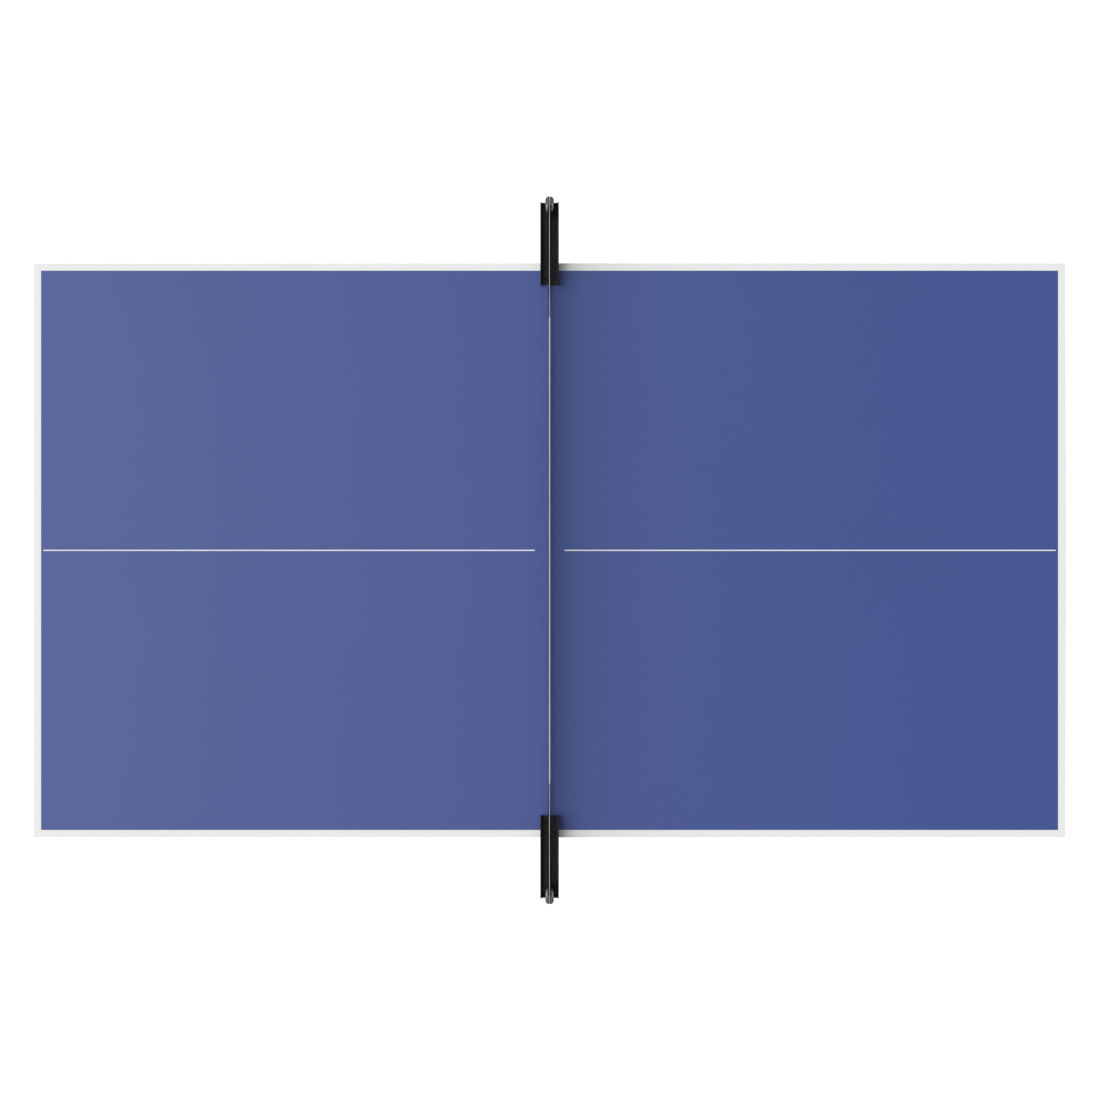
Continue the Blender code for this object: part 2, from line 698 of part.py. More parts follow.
def build_trolley(materials):
    """Frame of the trolley with the hinge pins."""
    steel = materials["frame_steel"]
    for side_name, side in SIDES:
        tube_at = (side * CROSS_TUBE_X, 0, BEAM_Z)
        place(f"cross_tube_{side_name}", cross_tube_shape(), steel, tube_at)
        for row_name, row in ROWS:
            suffix = f"{side_name}_{row_name}"
            column = column_shape(side, row, row_name == HOOKED_ROW)
            column_at = (side * COLUMN_X, row * COLUMN_Y, BEAM_TOP_Z + TOUCH_GAP)
            place(f"column_{suffix}", column, steel, column_at)
            pin_at = (side * HINGE_X, row * RAIL_OUTER_Y, HINGE_Z)
            place(f"hinge_pin_{suffix}", hinge_pin_shape(side, row), materials["zinc"], pin_at)
    for row_name, row in ROWS:
        place(f"base_beam_{row_name}", base_beam_shape(), steel, (0, row * COLUMN_Y, BEAM_Z))


# ---------------------------------------------------------------- casters


def fork_plate_outline(braked):
    """Side plate of a fork, about the swivel's axis, with an ear for the brake's pin."""
    high = FORK_TOP_Z - WELD_OVERLAP
    low = FORK_TOP_Z - FORK_PLATE - WELD_OVERLAP
    axle = (CASTER_TRAIL, WHEEL_RADIUS)
    outline = [(-FORK_HALF_LENGTH, high), (-FORK_HALF_LENGTH, low)]
    outline += arc(axle, AXLE_DIAMETER, 200, 350, 8)
    if braked:
        outline += arc((BRAKE_PIN_X, BRAKE_PIN_Z), BRAKE_PIN_DIAMETER, 0, 90, 4)
    else:
        outline += [(FORK_HALF_LENGTH, low)]
    outline += [(FORK_HALF_LENGTH, high)]
    return outline


def fork_shape(side, braked):
    """Caster fork about the swivel's axis, with its stem, its axle and the brake's pin."""
    top_length = 2 * (FORK_HALF_LENGTH - WELD_OVERLAP)
    top_width = 2 * (FORK_OUTER - WELD_OVERLAP)
    top = box(top_length, top_width, FORK_PLATE, (0, 0, FORK_TOP_Z - FORK_PLATE / 2))
    plate_y = (FORK_INNER + FORK_OUTER) / 2
    plates = [prism(fork_plate_outline(braked), FORK_PLATE, row * plate_y) for row in (-1, 1)]
    swivel_top = FORK_TOP_Z + SWIVEL_HEIGHT
    swivel = cylinder(SWIVEL_DIAMETER, FORK_TOP_Z - FORK_PLATE / 2, swivel_top, MEDIUM_ROUND)
    stem_bottom = swivel_top - WELD_OVERLAP
    stem = cylinder(STEM_DIAMETER, stem_bottom, swivel_top + STEM_LENGTH, COARSE_ROUND)
    reach = FORK_OUTER + FORK_PLATE
    axle = y_pin(AXLE_DIAMETER, -reach, reach, CASTER_TRAIL, WHEEL_RADIUS)
    joins = [*plates, swivel, stem, axle]
    if braked:
        pin_end = FORK_OUTER + WELD_OVERLAP
        joins.append(y_pin(BRAKE_PIN_DIAMETER, -pin_end, pin_end, BRAKE_PIN_X, BRAKE_PIN_Z))
    return mirrored(combined(top, joins=joins), side, 1)


def wheel_shape():
    """Wheel about its axle: a tread with a recess on each face and a hub."""
    half = WHEEL_WIDTH / 2
    bore = AXLE_DIAMETER / 2 + 2 * PIN_CLEARANCE
    hub = WHEEL_RADIUS * WHEEL_HUB_SHARE
    rim = WHEEL_RADIUS * WHEEL_RIM_SHARE
    shoulder = WHEEL_RADIUS - half / 2
    face = [(bore, half), (hub, half), (hub, half / 2), (rim, half / 2), (rim, half)]
    edge = [(shoulder, half), (WHEEL_RADIUS, half / 2)]
    upper = face + edge
    lower = [(radius, -height) for radius, height in reversed(upper)]
    return along_y(turned(upper + lower, FINE_ROUND))


def brake_shape(side):
    """Brake lever about its pin: a hub, a pedal and a shoe over the tread."""
    width = 2 * (FORK_INNER - FORK_SIDE_GAP / 2)
    hub_radius = BRAKE_HUB_DIAMETER / 2
    hub = y_pin(BRAKE_HUB_DIAMETER, -width / 2, width / 2)
    bore = BRAKE_PIN_DIAMETER + 2 * PIN_CLEARANCE
    below = BRAKE_PIN_Z - WHEEL_RADIUS
    tread = math.sqrt(WHEEL_RADIUS**2 - (BRAKE_SHOE_X + hub_radius / 2) ** 2)
    shoe_bottom = tread - below + BRAKE_SHOE_GAP
    pedal = [
        (0, hub_radius),
        (0, 0),
        (BRAKE_SHOE_X - hub_radius / 2, shoe_bottom),
        (BRAKE_SHOE_X + hub_radius / 2, shoe_bottom),
        (BRAKE_SHOE_X + hub_radius, 0),
        (BRAKE_PEDAL_LENGTH, hub_radius / 2),
        (BRAKE_PEDAL_LENGTH, hub_radius * 1.5),
    ]
    lever = prism(pedal, width)
    cut = y_pin(bore, -width, width)
    return mirrored(combined(hub, joins=[lever], cuts=[cut]), side, 1)


def build_casters(materials):
    """Four swivel casters, two of them with a brake."""
    for side_name, side in SIDES:
        for row_name, row in ROWS:
            suffix = f"{side_name}_{row_name}"
            braked = row_name == BRAKED_ROW
            swivel_at = (side * COLUMN_X, row * COLUMN_Y, 0)
            swivel = pivot(f"caster_{suffix}_swivel", swivel_at)
            fork = fork_shape(side, braked)
            place(f"caster_fork_{suffix}", fork, materials["zinc"], swivel_at, swivel)
            axle_at = (side * (COLUMN_X + CASTER_TRAIL), row * COLUMN_Y, WHEEL_RADIUS)
            place(f"caster_wheel_{suffix}", wheel_shape(), materials["tyre"], axle_at, swivel)
            if braked:
                pin_at = (side * (COLUMN_X + BRAKE_PIN_X), row * COLUMN_Y, BRAKE_PIN_Z)
                lever = brake_shape(side)
                place(f"brake_lever_{suffix}", lever, materials["black_plastic"], pin_at, swivel)


# ---------------------------------------------------------------- net


def arm_shape(row):
    """Channel that lies on the table's edge and carries a net post."""
    start = HALF_WIDTH - ARM_OVERLAP
    end = HALF_WIDTH + ARM_REACH
    middle = (start + end) / 2 - POST_Y
    length = end - start
    plate = box(ARM_WIDTH, length, ARM_PLATE, (0, middle, ARM_PLATE / 2))
    flange_height = ARM_PLATE + ARM_FLANGE
    flange_x = (ARM_WIDTH - ARM_PLATE) / 2
    flanges = []
    for side in (-1, 1):
        flange_at = (side * flange_x, middle, flange_height / 2)
        flanges.append(box(ARM_PLATE, length, flange_height, flange_at))
    return mirrored(combined(plate, joins=flanges), 1, row)


def post_shape():
    """Tubular post with a wider cap, and a slot across its top for the net's tape."""
    height = NET_TOP_Z - ARM_FLOOR_Z - TOUCH_GAP
    radius = POST_DIAMETER / 2
    cap = CAP_DIAMETER / 2
    inner = radius - POST_WALL
    cap_bottom = height - CAP_HEIGHT
    outline = [
        (0, height),
        (cap - CAP_BEVEL, height),
        (cap, height - CAP_BEVEL),
        (cap, cap_bottom),
        (radius, cap_bottom),
        (radius, 0),
        (inner, 0),
        (inner, cap_bottom - POST_WALL),
        (0, cap_bottom - POST_WALL),
    ]
    slot_width = TAPE_THICKNESS + 2 * PIN_CLEARANCE
    slot_depth = TAPE_HEIGHT + PIN_CLEARANCE
    slot = box(slot_width, 2 * CAP_DIAMETER, 2 * slot_depth, (0, 0, height))
    return combined(turned(outline, FINE_ROUND), cuts=[slot])


def net_support_shape(row):
    """Bent tube from the base beam up and out to the arm, clear of the folding halves."""
    start_z = BEAM_TOP_Z + TOUCH_GAP
    end_z = ARM_BOTTOM_Z - TOUCH_GAP
    rise = SUPPORT_BEND_END - SUPPORT_BEND_START
    swing = SUPPORT_TOP_Y - COLUMN_Y
    stations = [Matrix.Translation((0, 0, 0)) @ Matrix.Rotation(-math.pi / 2, 4, "Y")]
    for i in range(SUPPORT_STATIONS + 1):
        share = i / SUPPORT_STATIONS
        y = swing * share * share * (3 - 2 * share)
        slope = swing * 6 * share * (1 - share) / rise
        z = SUPPORT_BEND_START + rise * share - start_z
        lean = Matrix.Rotation(-math.atan(slope), 4, "X")
        turn = Matrix.Rotation(-math.pi / 2, 4, "Y")
        stations.append(Matrix.Translation((0, y, z)) @ lean @ turn)
    top = Matrix.Translation((0, swing, end_z - start_z))
    stations.append(top @ Matrix.Rotation(-math.pi / 2, 4, "Y"))
    outer = circle(SUPPORT_DIAMETER, COARSE_ROUND)
    inner = circle(SUPPORT_DIAMETER - 2 * SUPPORT_WALL, COARSE_ROUND)
    return mirrored(swept_tube(stations, outer, inner), 1, row)


def build_net(materials):
    """Net with its tape, posts, arms and the tubes that carry them."""
    for row_name, row in ROWS:
        support_at = (0, row * COLUMN_Y, BEAM_TOP_Z + TOUCH_GAP)
        steel = materials["frame_steel"]
        place(f"net_support_{row_name}", net_support_shape(row), steel, support_at)
        arm_at = (0, row * POST_Y, ARM_BOTTOM_Z)
        place(f"net_arm_{row_name}", arm_shape(row), materials["black_steel"], arm_at)
        post_at = (0, row * POST_Y, ARM_FLOOR_Z + TOUCH_GAP)
        place(f"net_post_{row_name}", post_shape(), materials["chrome"], post_at)
    tape_length = 2 * (HALF_WIDTH + NET_OVERHANG)
    tape = box(TAPE_THICKNESS, tape_length, TAPE_HEIGHT)
    place("net_top_tape", tape, materials["net_tape"], (0, 0, NET_TOP_Z - TAPE_HEIGHT / 2))
    net_low = ARM_FLOOR_Z + PIN_CLEARANCE
    net_high = NET_TOP_Z - TAPE_HEIGHT - TOUCH_GAP
    net_length = 2 * (POST_Y - CAP_DIAMETER / 2 - PIN_CLEARANCE)
    net = box(NET_THICKNESS, net_length, net_high - net_low)
    place("net_mesh", net, materials["net_cord"], (0, 0, (net_low + net_high) / 2))


def main():
    clear_scene()
    materials = make_materials()
    for side_name, side in SIDES:
        hinge = build_half(side_name, side, materials)
        build_legs(side_name, side, materials, hinge)
        build_links(side_name, side, materials)
    build_trolley(materials)
    build_casters(materials)
    build_net(materials)


main()
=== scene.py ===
"""Looks of a rollaway table tennis table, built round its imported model.

Metres, +Z up, +X along the table and +Y across it, with the floor at z 0 and the
net in the plane x 0. Each piece is made once for the right-hand side at the back,
and mirrored from there.
"""

import json
import math

import bmesh
import bpy
from bpy.props import FloatProperty, FloatVectorProperty, IntProperty, PointerProperty
from mathutils import Matrix, Vector, noise


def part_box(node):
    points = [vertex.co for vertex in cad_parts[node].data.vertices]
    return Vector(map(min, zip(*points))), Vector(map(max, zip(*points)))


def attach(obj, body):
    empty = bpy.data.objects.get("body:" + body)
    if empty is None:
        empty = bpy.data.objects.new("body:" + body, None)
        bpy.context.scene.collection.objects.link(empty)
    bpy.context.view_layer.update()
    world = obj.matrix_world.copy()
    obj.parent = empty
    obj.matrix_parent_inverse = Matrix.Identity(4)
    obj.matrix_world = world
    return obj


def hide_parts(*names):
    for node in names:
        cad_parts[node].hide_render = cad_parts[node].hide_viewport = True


bl_info = {
    "name": "Table Tennis Table",
    "version": (1, 0, 0),
    "blender": (4, 5, 0),
    "location": "3D View > Sidebar > Table",
    "description": "Builds a folding table tennis table with its trolley, net and studio",
    "category": "Object",
}

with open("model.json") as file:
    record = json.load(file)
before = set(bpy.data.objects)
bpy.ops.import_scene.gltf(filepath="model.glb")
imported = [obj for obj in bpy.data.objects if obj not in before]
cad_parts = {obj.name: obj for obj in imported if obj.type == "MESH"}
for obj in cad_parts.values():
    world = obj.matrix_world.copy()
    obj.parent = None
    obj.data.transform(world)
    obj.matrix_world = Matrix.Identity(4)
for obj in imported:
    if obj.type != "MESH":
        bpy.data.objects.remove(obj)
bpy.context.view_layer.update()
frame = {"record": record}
JOINTS = {joint["name"]: joint for joint in frame["record"]["behaviour"]["joints"]}

SIDES = (("left", -1), ("right", 1))
ROWS = (("front", -1), ("back", 1))
HOOKED_ROW = "front"

ROUND = 32
SMALL_ROUND = 16
HEX = 6
MERGE = 0.000001
WIRE_SHARE = 1.1
CAP_CORNER = 0.010
ARM_BULGE = 0.0006
ARM_NOSE = 0.003
COLUMN_WIDTH = 0.040
GUSSET = 0.006
SMOOTH_ANGLE = math.radians(38)
UP = (0, 0, 1)
AXES = {"X": Vector((1, 0, 0)), "Y": Vector((0, 1, 0)), "Z": Vector((0, 0, 1))}
OUT_Y = (0, 1, 0)
IN_Y = (0, -1, 0)


# ---------------------------------------------------------------- settings


def length_setting(name, description, default):
    """Size that a user may change."""
    return FloatProperty(
        name=name,
        description=description,
        default=default,
        min=0.0,
        precision=4,
        subtype="DISTANCE",
        unit="LENGTH",
    )


def colour_setting(name, description, default):
    """Colour that a user may change."""
    return FloatVectorProperty(
        name=name,
        description=description,
        default=default,
        size=3,
        min=0.0,
        max=1.0,
        subtype="COLOR",
    )


class BoardSettings(bpy.types.PropertyGroup):
    """Sizes and colours of the playing surface."""

    border: length_setting("Border line", "Width of the white line along the edges", 0.020)
    centre_line: length_setting("Centre line", "Width of the line for doubles", 0.003)
    centre_gap: length_setting("Gap at the net", "From the net to the centre line", 0.0395)
    centre_inset: length_setting("Gap at the end", "From the end line to the centre line", 0.006)
    edge_round: length_setting("Edge radius", "Radius of the board's edges", 0.0012)
    blue: colour_setting("Blue", "Paint of the playing surface", (0.034, 0.071, 0.283))
    white: colour_setting("White", "Paint of the lines", (0.865, 0.875, 0.865))
    edging: colour_setting("Edging", "Band round the board", (0.012, 0.014, 0.022))
    underside: colour_setting("Underside", "Sealed fibreboard", (0.10, 0.072, 0.048))


class FrameSettings(bpy.types.PropertyGroup):
    """Sizes and colours of the steel frame."""

    corner: length_setting("Tube corner", "Outer radius of a square tube's corners", 0.0035)
    wall: length_setting("Tube wall", "Wall thickness that shows at open ends", 0.002)
    weld: length_setting("Weld", "Radius of a weld bead", 0.0018)
    bracket: length_setting("Bracket", "Width of the brackets under the board", 0.024)
    steel: colour_setting("Steel", "Dark grey powder coat", (0.030, 0.032, 0.036))
    black: colour_setting("Black", "Black powder coat of the net arms", (0.0085, 0.0085, 0.009))
    plastic: colour_setting("Plastic", "Caps and plugs", (0.014, 0.014, 0.015))
    zinc: colour_setting("Zinc", "Plated fittings", (0.56, 0.57, 0.58))


class NetSettings(bpy.types.PropertyGroup):
    """Sizes and colours of the net and its posts."""

    cell: length_setting("Cell", "Side of one square of the net", 0.0095)
    cord: length_setting("Cord", "Thickness of the net's cord", 0.0013)
    cloth: length_setting("Cloth", "Thickness of the tape's cloth", 0.0003)
    tape_thickness: length_setting("Tape", "Thickness of the folded tape", 0.0008)
    hem: length_setting("Hem", "Height of the dark hem at the foot of the net", 0.007)
    stitch: length_setting("Stitch", "Length of a stitch in the tape", 0.0028)
    ties: IntProperty(name="Ties", description="Ties at each post", default=5, min=1, max=12)
    net: colour_setting("Net", "Colour of the cord", (0.020, 0.024, 0.030))
    tape: colour_setting("Tape", "Colour of the tape", (0.71, 0.72, 0.73))
    chrome: colour_setting("Chrome", "Colour of the posts", (0.66, 0.67, 0.68))
    cap: colour_setting("Cap", "Colour of the post caps", (0.085, 0.086, 0.09))


class StageSettings(bpy.types.PropertyGroup):
    """Camera, light and floor."""

    height: length_setting("Camera height", "Camera above the floor", 6.26)
    lens: FloatProperty(name="Lens", description="Focal length", default=67.8, unit="CAMERA")
    key: FloatProperty(name="Key light", description="Strength of the soft light", default=3.15)
    key_height: FloatProperty(
        name="Key height", description="Angle of the soft light above the floor", default=math.radians(39), subtype="ANGLE"
    )
    key_softness: FloatProperty(
        name="Key softness", description="Angle that the soft light fills", default=math.radians(84), subtype="ANGLE"
    )
    sky: FloatProperty(name="Sky", description="Strength of the even light", default=0.32)
    glow: FloatProperty(name="Floor glow", description="Light from the floor", default=0.70)
    floor: length_setting("Floor", "Side of the floor", 40.0)
    shift: FloatVectorProperty(name="Shift", description="Shift of the picture", default=(0.0004, 0.0003), size=2)


# ---------------------------------------------------------------- shapes


def gather(*shapes):
    """One shape from several."""
    whole = shapes[0]
    for shape in shapes[1:]:
        mesh = bpy.data.meshes.new("loose")
        shape.to_mesh(mesh)
        shape.free()
        whole.from_mesh(mesh)
        bpy.data.meshes.remove(mesh)
    return whole


def bevelled(shape, edges, radius, segments=2):
    """Round some edges."""
    bmesh.ops.bevel(
        shape,
        geom=list(edges),
        offset=radius,
        offset_type="OFFSET",
        affect="EDGES",
        segments=segments,
        profile=0.5,
        material=-1,
        clamp_overlap=True,
    )
    return shape


def softened(shape, radius, segments=2, angle=35.0):
    """Round every edge that is sharper than an angle."""
    limit = math.radians(angle)
    sharp = [edge for edge in shape.edges if edge.calc_face_angle(0.0) > limit]
    return bevelled(shape, sharp, radius, segments)


def block(low, high):
    """Box between two corners."""
    low, high = Vector(low), Vector(high)
    shape = bmesh.new()
    bmesh.ops.create_cube(shape, size=1.0)
    bmesh.ops.scale(shape, vec=high - low, verts=shape.verts)
    bmesh.ops.translate(shape, vec=(low + high) / 2, verts=shape.verts)
    return shape


def soft_block(low, high, radius, segments=2):
    """Box with rounded edges."""
    return softened(block(low, high), radius, segments)


def recessed(shape, direction, wall, depth):
    """Sink the faces that look one way, and leave a wall round them."""
    for face in [f for f in shape.faces if f.normal.dot(direction) > 0.999]:
        bmesh.ops.inset_region(shape, faces=[face], thickness=wall, use_even_offset=True)
        bmesh.ops.inset_region(shape, faces=[face], thickness=wall / 50, depth=-depth)
    return shape


def square_tube(low, high, axis, corner, wall, depth=0.05):
    """Tube with rounded corners and hollow ends."""
    shape = block(low, high)
    along = AXES[axis]
    edges = [e for e in shape.edges if abs((e.verts[0].co - e.verts[1].co).normalized().dot(along)) > 0.99]
    bevelled(shape, edges, corner, 3)
    shape.normal_update()
    for direction in (along, -along):
        recessed(shape, direction, wall, depth)
    return shape


def turned(outline, steps=ROUND):
    """Solid of revolution about Z from (radius, height) points, closed or ending on the axis."""
    shape = bmesh.new()
    points = [shape.verts.new((radius, 0, height)) for radius, height in outline]
    edges = [shape.edges.new(pair) for pair in zip(points, points[1:])]
    if outline[0][0] > MERGE:
        edges.append(shape.edges.new((points[-1], points[0])))
    bmesh.ops.spin(
        shape,
        geom=points + edges,
        cent=(0, 0, 0),
        axis=UP,
        angle=math.tau,
        steps=steps,
        use_merge=True,
    )
    bmesh.ops.remove_doubles(shape, verts=shape.verts, dist=MERGE)
    bmesh.ops.recalc_face_normals(shape, faces=shape.faces)
    return shape


def dome(radius, height, steps=4):
    """Points of a low dome, from its rim at height 0 to the axis."""
    angles = [math.pi / 2 * i / steps for i in range(steps + 1)]
    points = [(radius * math.cos(a), height * math.sin(a)) for a in angles]
    return points[:-1] + [(0, height)]


def aimed(shape, direction, at=(0, 0, 0)):
    """Turn a shape made about Z to a direction, and set it down at a place."""
    turn = Vector(UP).rotation_difference(Vector(direction)).to_matrix()
    bmesh.ops.rotate(shape, matrix=turn, verts=shape.verts)
    bmesh.ops.translate(shape, vec=at, verts=shape.verts)
    return shape


def rod(radius, start, end, steps=ROUND, soft=0.0004):
    """Round bar between two points, with rounded rims."""
    start, end = Vector(start), Vector(end)
    length = (end - start).length
    outline = [(0, 0), (radius - soft, 0), (radius, soft)]
    outline += [(radius, length - soft), (radius - soft, length), (0, length)]
    return aimed(turned(outline, steps), end - start, start)


def ring(outer, inner, start, end, steps=ROUND, soft=0.0003):
    """Washer or collar between two points on its axis."""
    start, end = Vector(start), Vector(end)
    length = (end - start).length
    outline = [(inner, 0), (outer - soft, 0), (outer, soft)]
    outline += [(outer, length - soft), (outer - soft, length), (inner, length)]
    return aimed(turned(outline, steps), end - start, start)


def prism(outline, low, high):
    """Plate with an outline of (x, z) points, between two values of Y."""
    shape = bmesh.new()
    face = shape.faces.new([shape.verts.new((x, low, z)) for x, z in outline])
    grown = bmesh.ops.extrude_face_region(shape, geom=[face], use_keep_orig=True)
    moved = [item for item in grown["geom"] if isinstance(item, bmesh.types.BMVert)]
    bmesh.ops.translate(shape, vec=(0, high - low, 0), verts=moved)
    bmesh.ops.recalc_face_normals(shape, faces=shape.faces)
    return shape


def slab(outline, low, high):
    """Plate with an outline of (x, y) points, between two heights."""
    shape = prism(outline, -high, -low)
    bmesh.ops.rotate(shape, matrix=Matrix.Rotation(-math.pi / 2, 3, "X"), verts=shape.verts)
    return shape


def arc(centre, radius, start, end, steps):
    """Points of an arc, with its angles in degrees."""
    angles = [math.radians(start + (end - start) * i / steps) for i in range(steps + 1)]
    return [(centre[0] + radius * math.cos(a), centre[1] + radius * math.sin(a)) for a in angles]


def swept(path, radii, steps=SMALL_ROUND, closed=False):
    """Round bar along a path of points, with a radius at each."""
    path = [Vector(point) for point in path]
    count = len(path)
    ways = []
    for i, point in enumerate(path):
        before = path[(i - 1) % count] if closed or i > 0 else point
        after = path[(i + 1) % count] if closed or i < count - 1 else point
        ways.append((after - before).normalized())
    shape = bmesh.new()
    made = bmesh.ops.create_circle(shape, cap_ends=not closed, radius=radii[0], segments=steps)
    verts = made["verts"]
    aim = Vector(UP).rotation_difference(ways[0]).to_matrix()
    bmesh.ops.rotate(shape, matrix=aim, verts=verts)
    bmesh.ops.translate(shape, vec=path[0], verts=verts)
    edges = list({edge for vert in verts for edge in vert.link_edges})
    first_edges = edges
    for i in range(1, count):
        grown = bmesh.ops.extrude_edge_only(shape, edges=edges)["geom"]
        verts = [item for item in grown if isinstance(item, bmesh.types.BMVert)]
        edges = [item for item in grown if isinstance(item, bmesh.types.BMEdge)]
        turn = ways[i - 1].rotation_difference(ways[i]).to_matrix()
        size = radii[i] / radii[i - 1]
        bmesh.ops.translate(shape, vec=-path[i - 1], verts=verts)
        bmesh.ops.rotate(shape, matrix=turn, verts=verts)
        bmesh.ops.scale(shape, vec=(size, size, size), verts=verts)
        bmesh.ops.translate(shape, vec=path[i], verts=verts)
    if closed:
        bmesh.ops.bridge_loops(shape, edges=edges + first_edges)
    else:
        bmesh.ops.contextual_create(shape, geom=edges)
    bmesh.ops.recalc_face_normals(shape, faces=shape.faces)
    return shape


def bead(path, size, closed=False):
    """Rippled weld bead along a path."""
    ripple = [size * (1.0 + 0.16 * math.sin(2.1 * i)) for i in range(len(path))]
    return swept(path, ripple, 8, closed)


def bead_line(start, end, size):
    """Straight weld bead."""
    start, end = Vector(start), Vector(end)
    count = max(3, round((end - start).length / size))
    return bead([start.lerp(end, i / count) for i in range(count + 1)], size)


def bead_ring(centre, axis, radius, size):
    """Weld bead round a tube."""
    turn = Vector(UP).rotation_difference(Vector(axis)).to_matrix()
    count = max(12, round(math.tau * radius / size / 1.2))
    angles = [math.tau * i / count for i in range(count)]
    path = [Vector(centre) + turn @ Vector((radius * math.cos(a), radius * math.sin(a), 0)) for a in angles]
    return bead(path, size, True)


def pan_screw(radius, at, direction):
    """Pan head with a driver's recess."""
    height = radius * 0.55
    outline = [(0, height * 0.35), (radius * 0.30, height * 0.42), (radius * 0.36, height)]
    outline += [(radius * 0.62, height * 0.97), (radius * 0.88, height * 0.72), (radius, height * 0.3)]
    outline += [(radius, 0), (0, 0)]
    return aimed(turned(outline, 12), direction, at)


def hex_head(across, height, at, direction, washer=0.0):
    """Hexagon head or nut with chamfered corners, and a washer under it."""
    radius = across / math.sqrt(3)
    outline = [(0, washer), (radius, washer), (radius, washer + height * 0.85)]
    outline += [(radius * 0.86, washer + height), (0, washer + height)]
    head = turned(outline, HEX)
    if washer:
        head = gather(head, turned([(0, 0), (radius * 1.15, 0), (radius * 1.15, washer), (0, washer)], 20))
    return aimed(head, direction, at)


def painted(shape, index):
    """Give a whole shape one of its piece's materials."""
    for face in shape.faces:
        face.material_index = index
    return shape


def mirrored(shape, side, row):
    """Mirror a shape that was made for the right-hand side at the back."""
    bmesh.ops.scale(shape, vec=(side, row, 1), verts=shape.verts)
    if side * row < 0:
        bmesh.ops.reverse_faces(shape, faces=shape.faces)
    return shape


def piece(name, shape, finishes, body, replaces=()):
    """Object made from a shape, which rides on a body and may stand for CAD nodes."""
    mesh = bpy.data.meshes.new(name)
    shape.to_mesh(mesh)
    shape.free()
    for finish in finishes:
        mesh.materials.append(material(finish))
    mesh.shade_smooth()
    mesh.set_sharp_from_angle(angle=SMOOTH_ANGLE)
    made = bpy.data.objects.new(name, mesh)
    bpy.context.scene.collection.objects.link(made)
    flat = made.modifiers.new("Even shading on flat faces", "WEIGHTED_NORMAL")
    flat.keep_sharp = True
    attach(made, body)
    if replaces:
        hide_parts(*replaces)
    return made


def joint_at(name):
    """Where a joint's axis is."""
    return Vector(JOINTS[name]["pos_m"])


# ---------------------------------------------------------------- shader groups


def feed(tree, value, socket):
    """Link a socket, or set it."""
    if isinstance(value, bpy.types.NodeSocket):
        tree.links.new(value, socket)
    else:
        socket.default_value = value


def maths(tree, operation, *values, clamp=False):
    """Math node."""
    made = tree.nodes.new("ShaderNodeMath")
    made.operation = operation
    made.use_clamp = clamp
    for value, socket in zip(values, made.inputs):
        feed(tree, value, socket)
    return made.outputs[0]


def spread(tree, value, low, high, to_low=0.0, to_high=1.0):
    """Map a range to another, held at its ends."""
    made = tree.nodes.new("ShaderNodeMapRange")
    for number, socket in zip((value, low, high, to_low, to_high), made.inputs):
        feed(tree, number, socket)
    return made.outputs[0]


def mixed(tree, factor, first, second):
    """Colour between two."""
    made = tree.nodes.new("ShaderNodeMix")
    made.data_type = "RGBA"
    for index, value in ((0, factor), (6, first), (7, second)):
        if isinstance(value, (tuple, list)):
            value = (*value[:3], 1.0)
        feed(tree, value, made.inputs[index])
    return made.outputs[2]


def object_place(tree):
    """Object coordinates."""
    return tree.nodes.new("ShaderNodeTexCoord").outputs["Object"]


def stretched(tree, place, scale):
    """Coordinates scaled along each axis."""
    made = tree.nodes.new("ShaderNodeMapping")
    feed(tree, place, made.inputs["Vector"])
    made.inputs["Scale"].default_value = scale
    return made.outputs[0]


def speckle(tree, place, scale, detail=2.0, rough=0.5):
    """Noise value."""
    made = tree.nodes.new("ShaderNodeTexNoise")
    feed(tree, place, made.inputs["Vector"])
    feed(tree, scale, made.inputs["Scale"])
    made.inputs["Detail"].default_value = detail
    made.inputs["Roughness"].default_value = rough
    return made.outputs[0]


def new_group(name, inputs, outputs):
    """Shader group with number sockets, its nodes at both ends."""
    group = bpy.data.node_groups.new(name, "ShaderNodeTree")
    for label, default in inputs:
        socket = group.interface.new_socket(label, in_out="INPUT", socket_type="NodeSocketFloat")
        socket.default_value = default
    for label in outputs:
        group.interface.new_socket(label, in_out="OUTPUT", socket_type="NodeSocketFloat")
    return group, group.nodes.new("NodeGroupInput"), group.nodes.new("NodeGroupOutput")


def make_grain_group():
    """Fine texture of a coat: a height, and the same as a shade."""
    group, start, end = new_group("Fine grain", [("Size", 0.001)], ["Height", "Shade"])
    scale = maths(group, "DIVIDE", 1.0, start.outputs["Size"])
    place = object_place(group)
    fine = speckle(group, place, scale, 3.0)
    broad = speckle(group, place, maths(group, "MULTIPLY", scale, 0.23), 2.0)
    height = maths(group, "ADD", maths(group, "MULTIPLY", fine, 0.7), maths(group, "MULTIPLY", broad, 0.3))
    feed(group, height, end.inputs["Height"])
    feed(group, spread(group, height, 0.35, 0.65), end.inputs["Shade"])
    return group


def make_tone_group():
    """Slow drift of a colour over the piece."""
    group, start, end = new_group("Slow tone", [("Size", 0.3)], ["Tone"])
    scale = maths(group, "DIVIDE", 1.0, start.outputs["Size"])
    cloud = speckle(group, object_place(group), scale, 4.0, 0.55)
    feed(group, spread(group, cloud, 0.3, 0.7), end.inputs["Tone"])
    return group


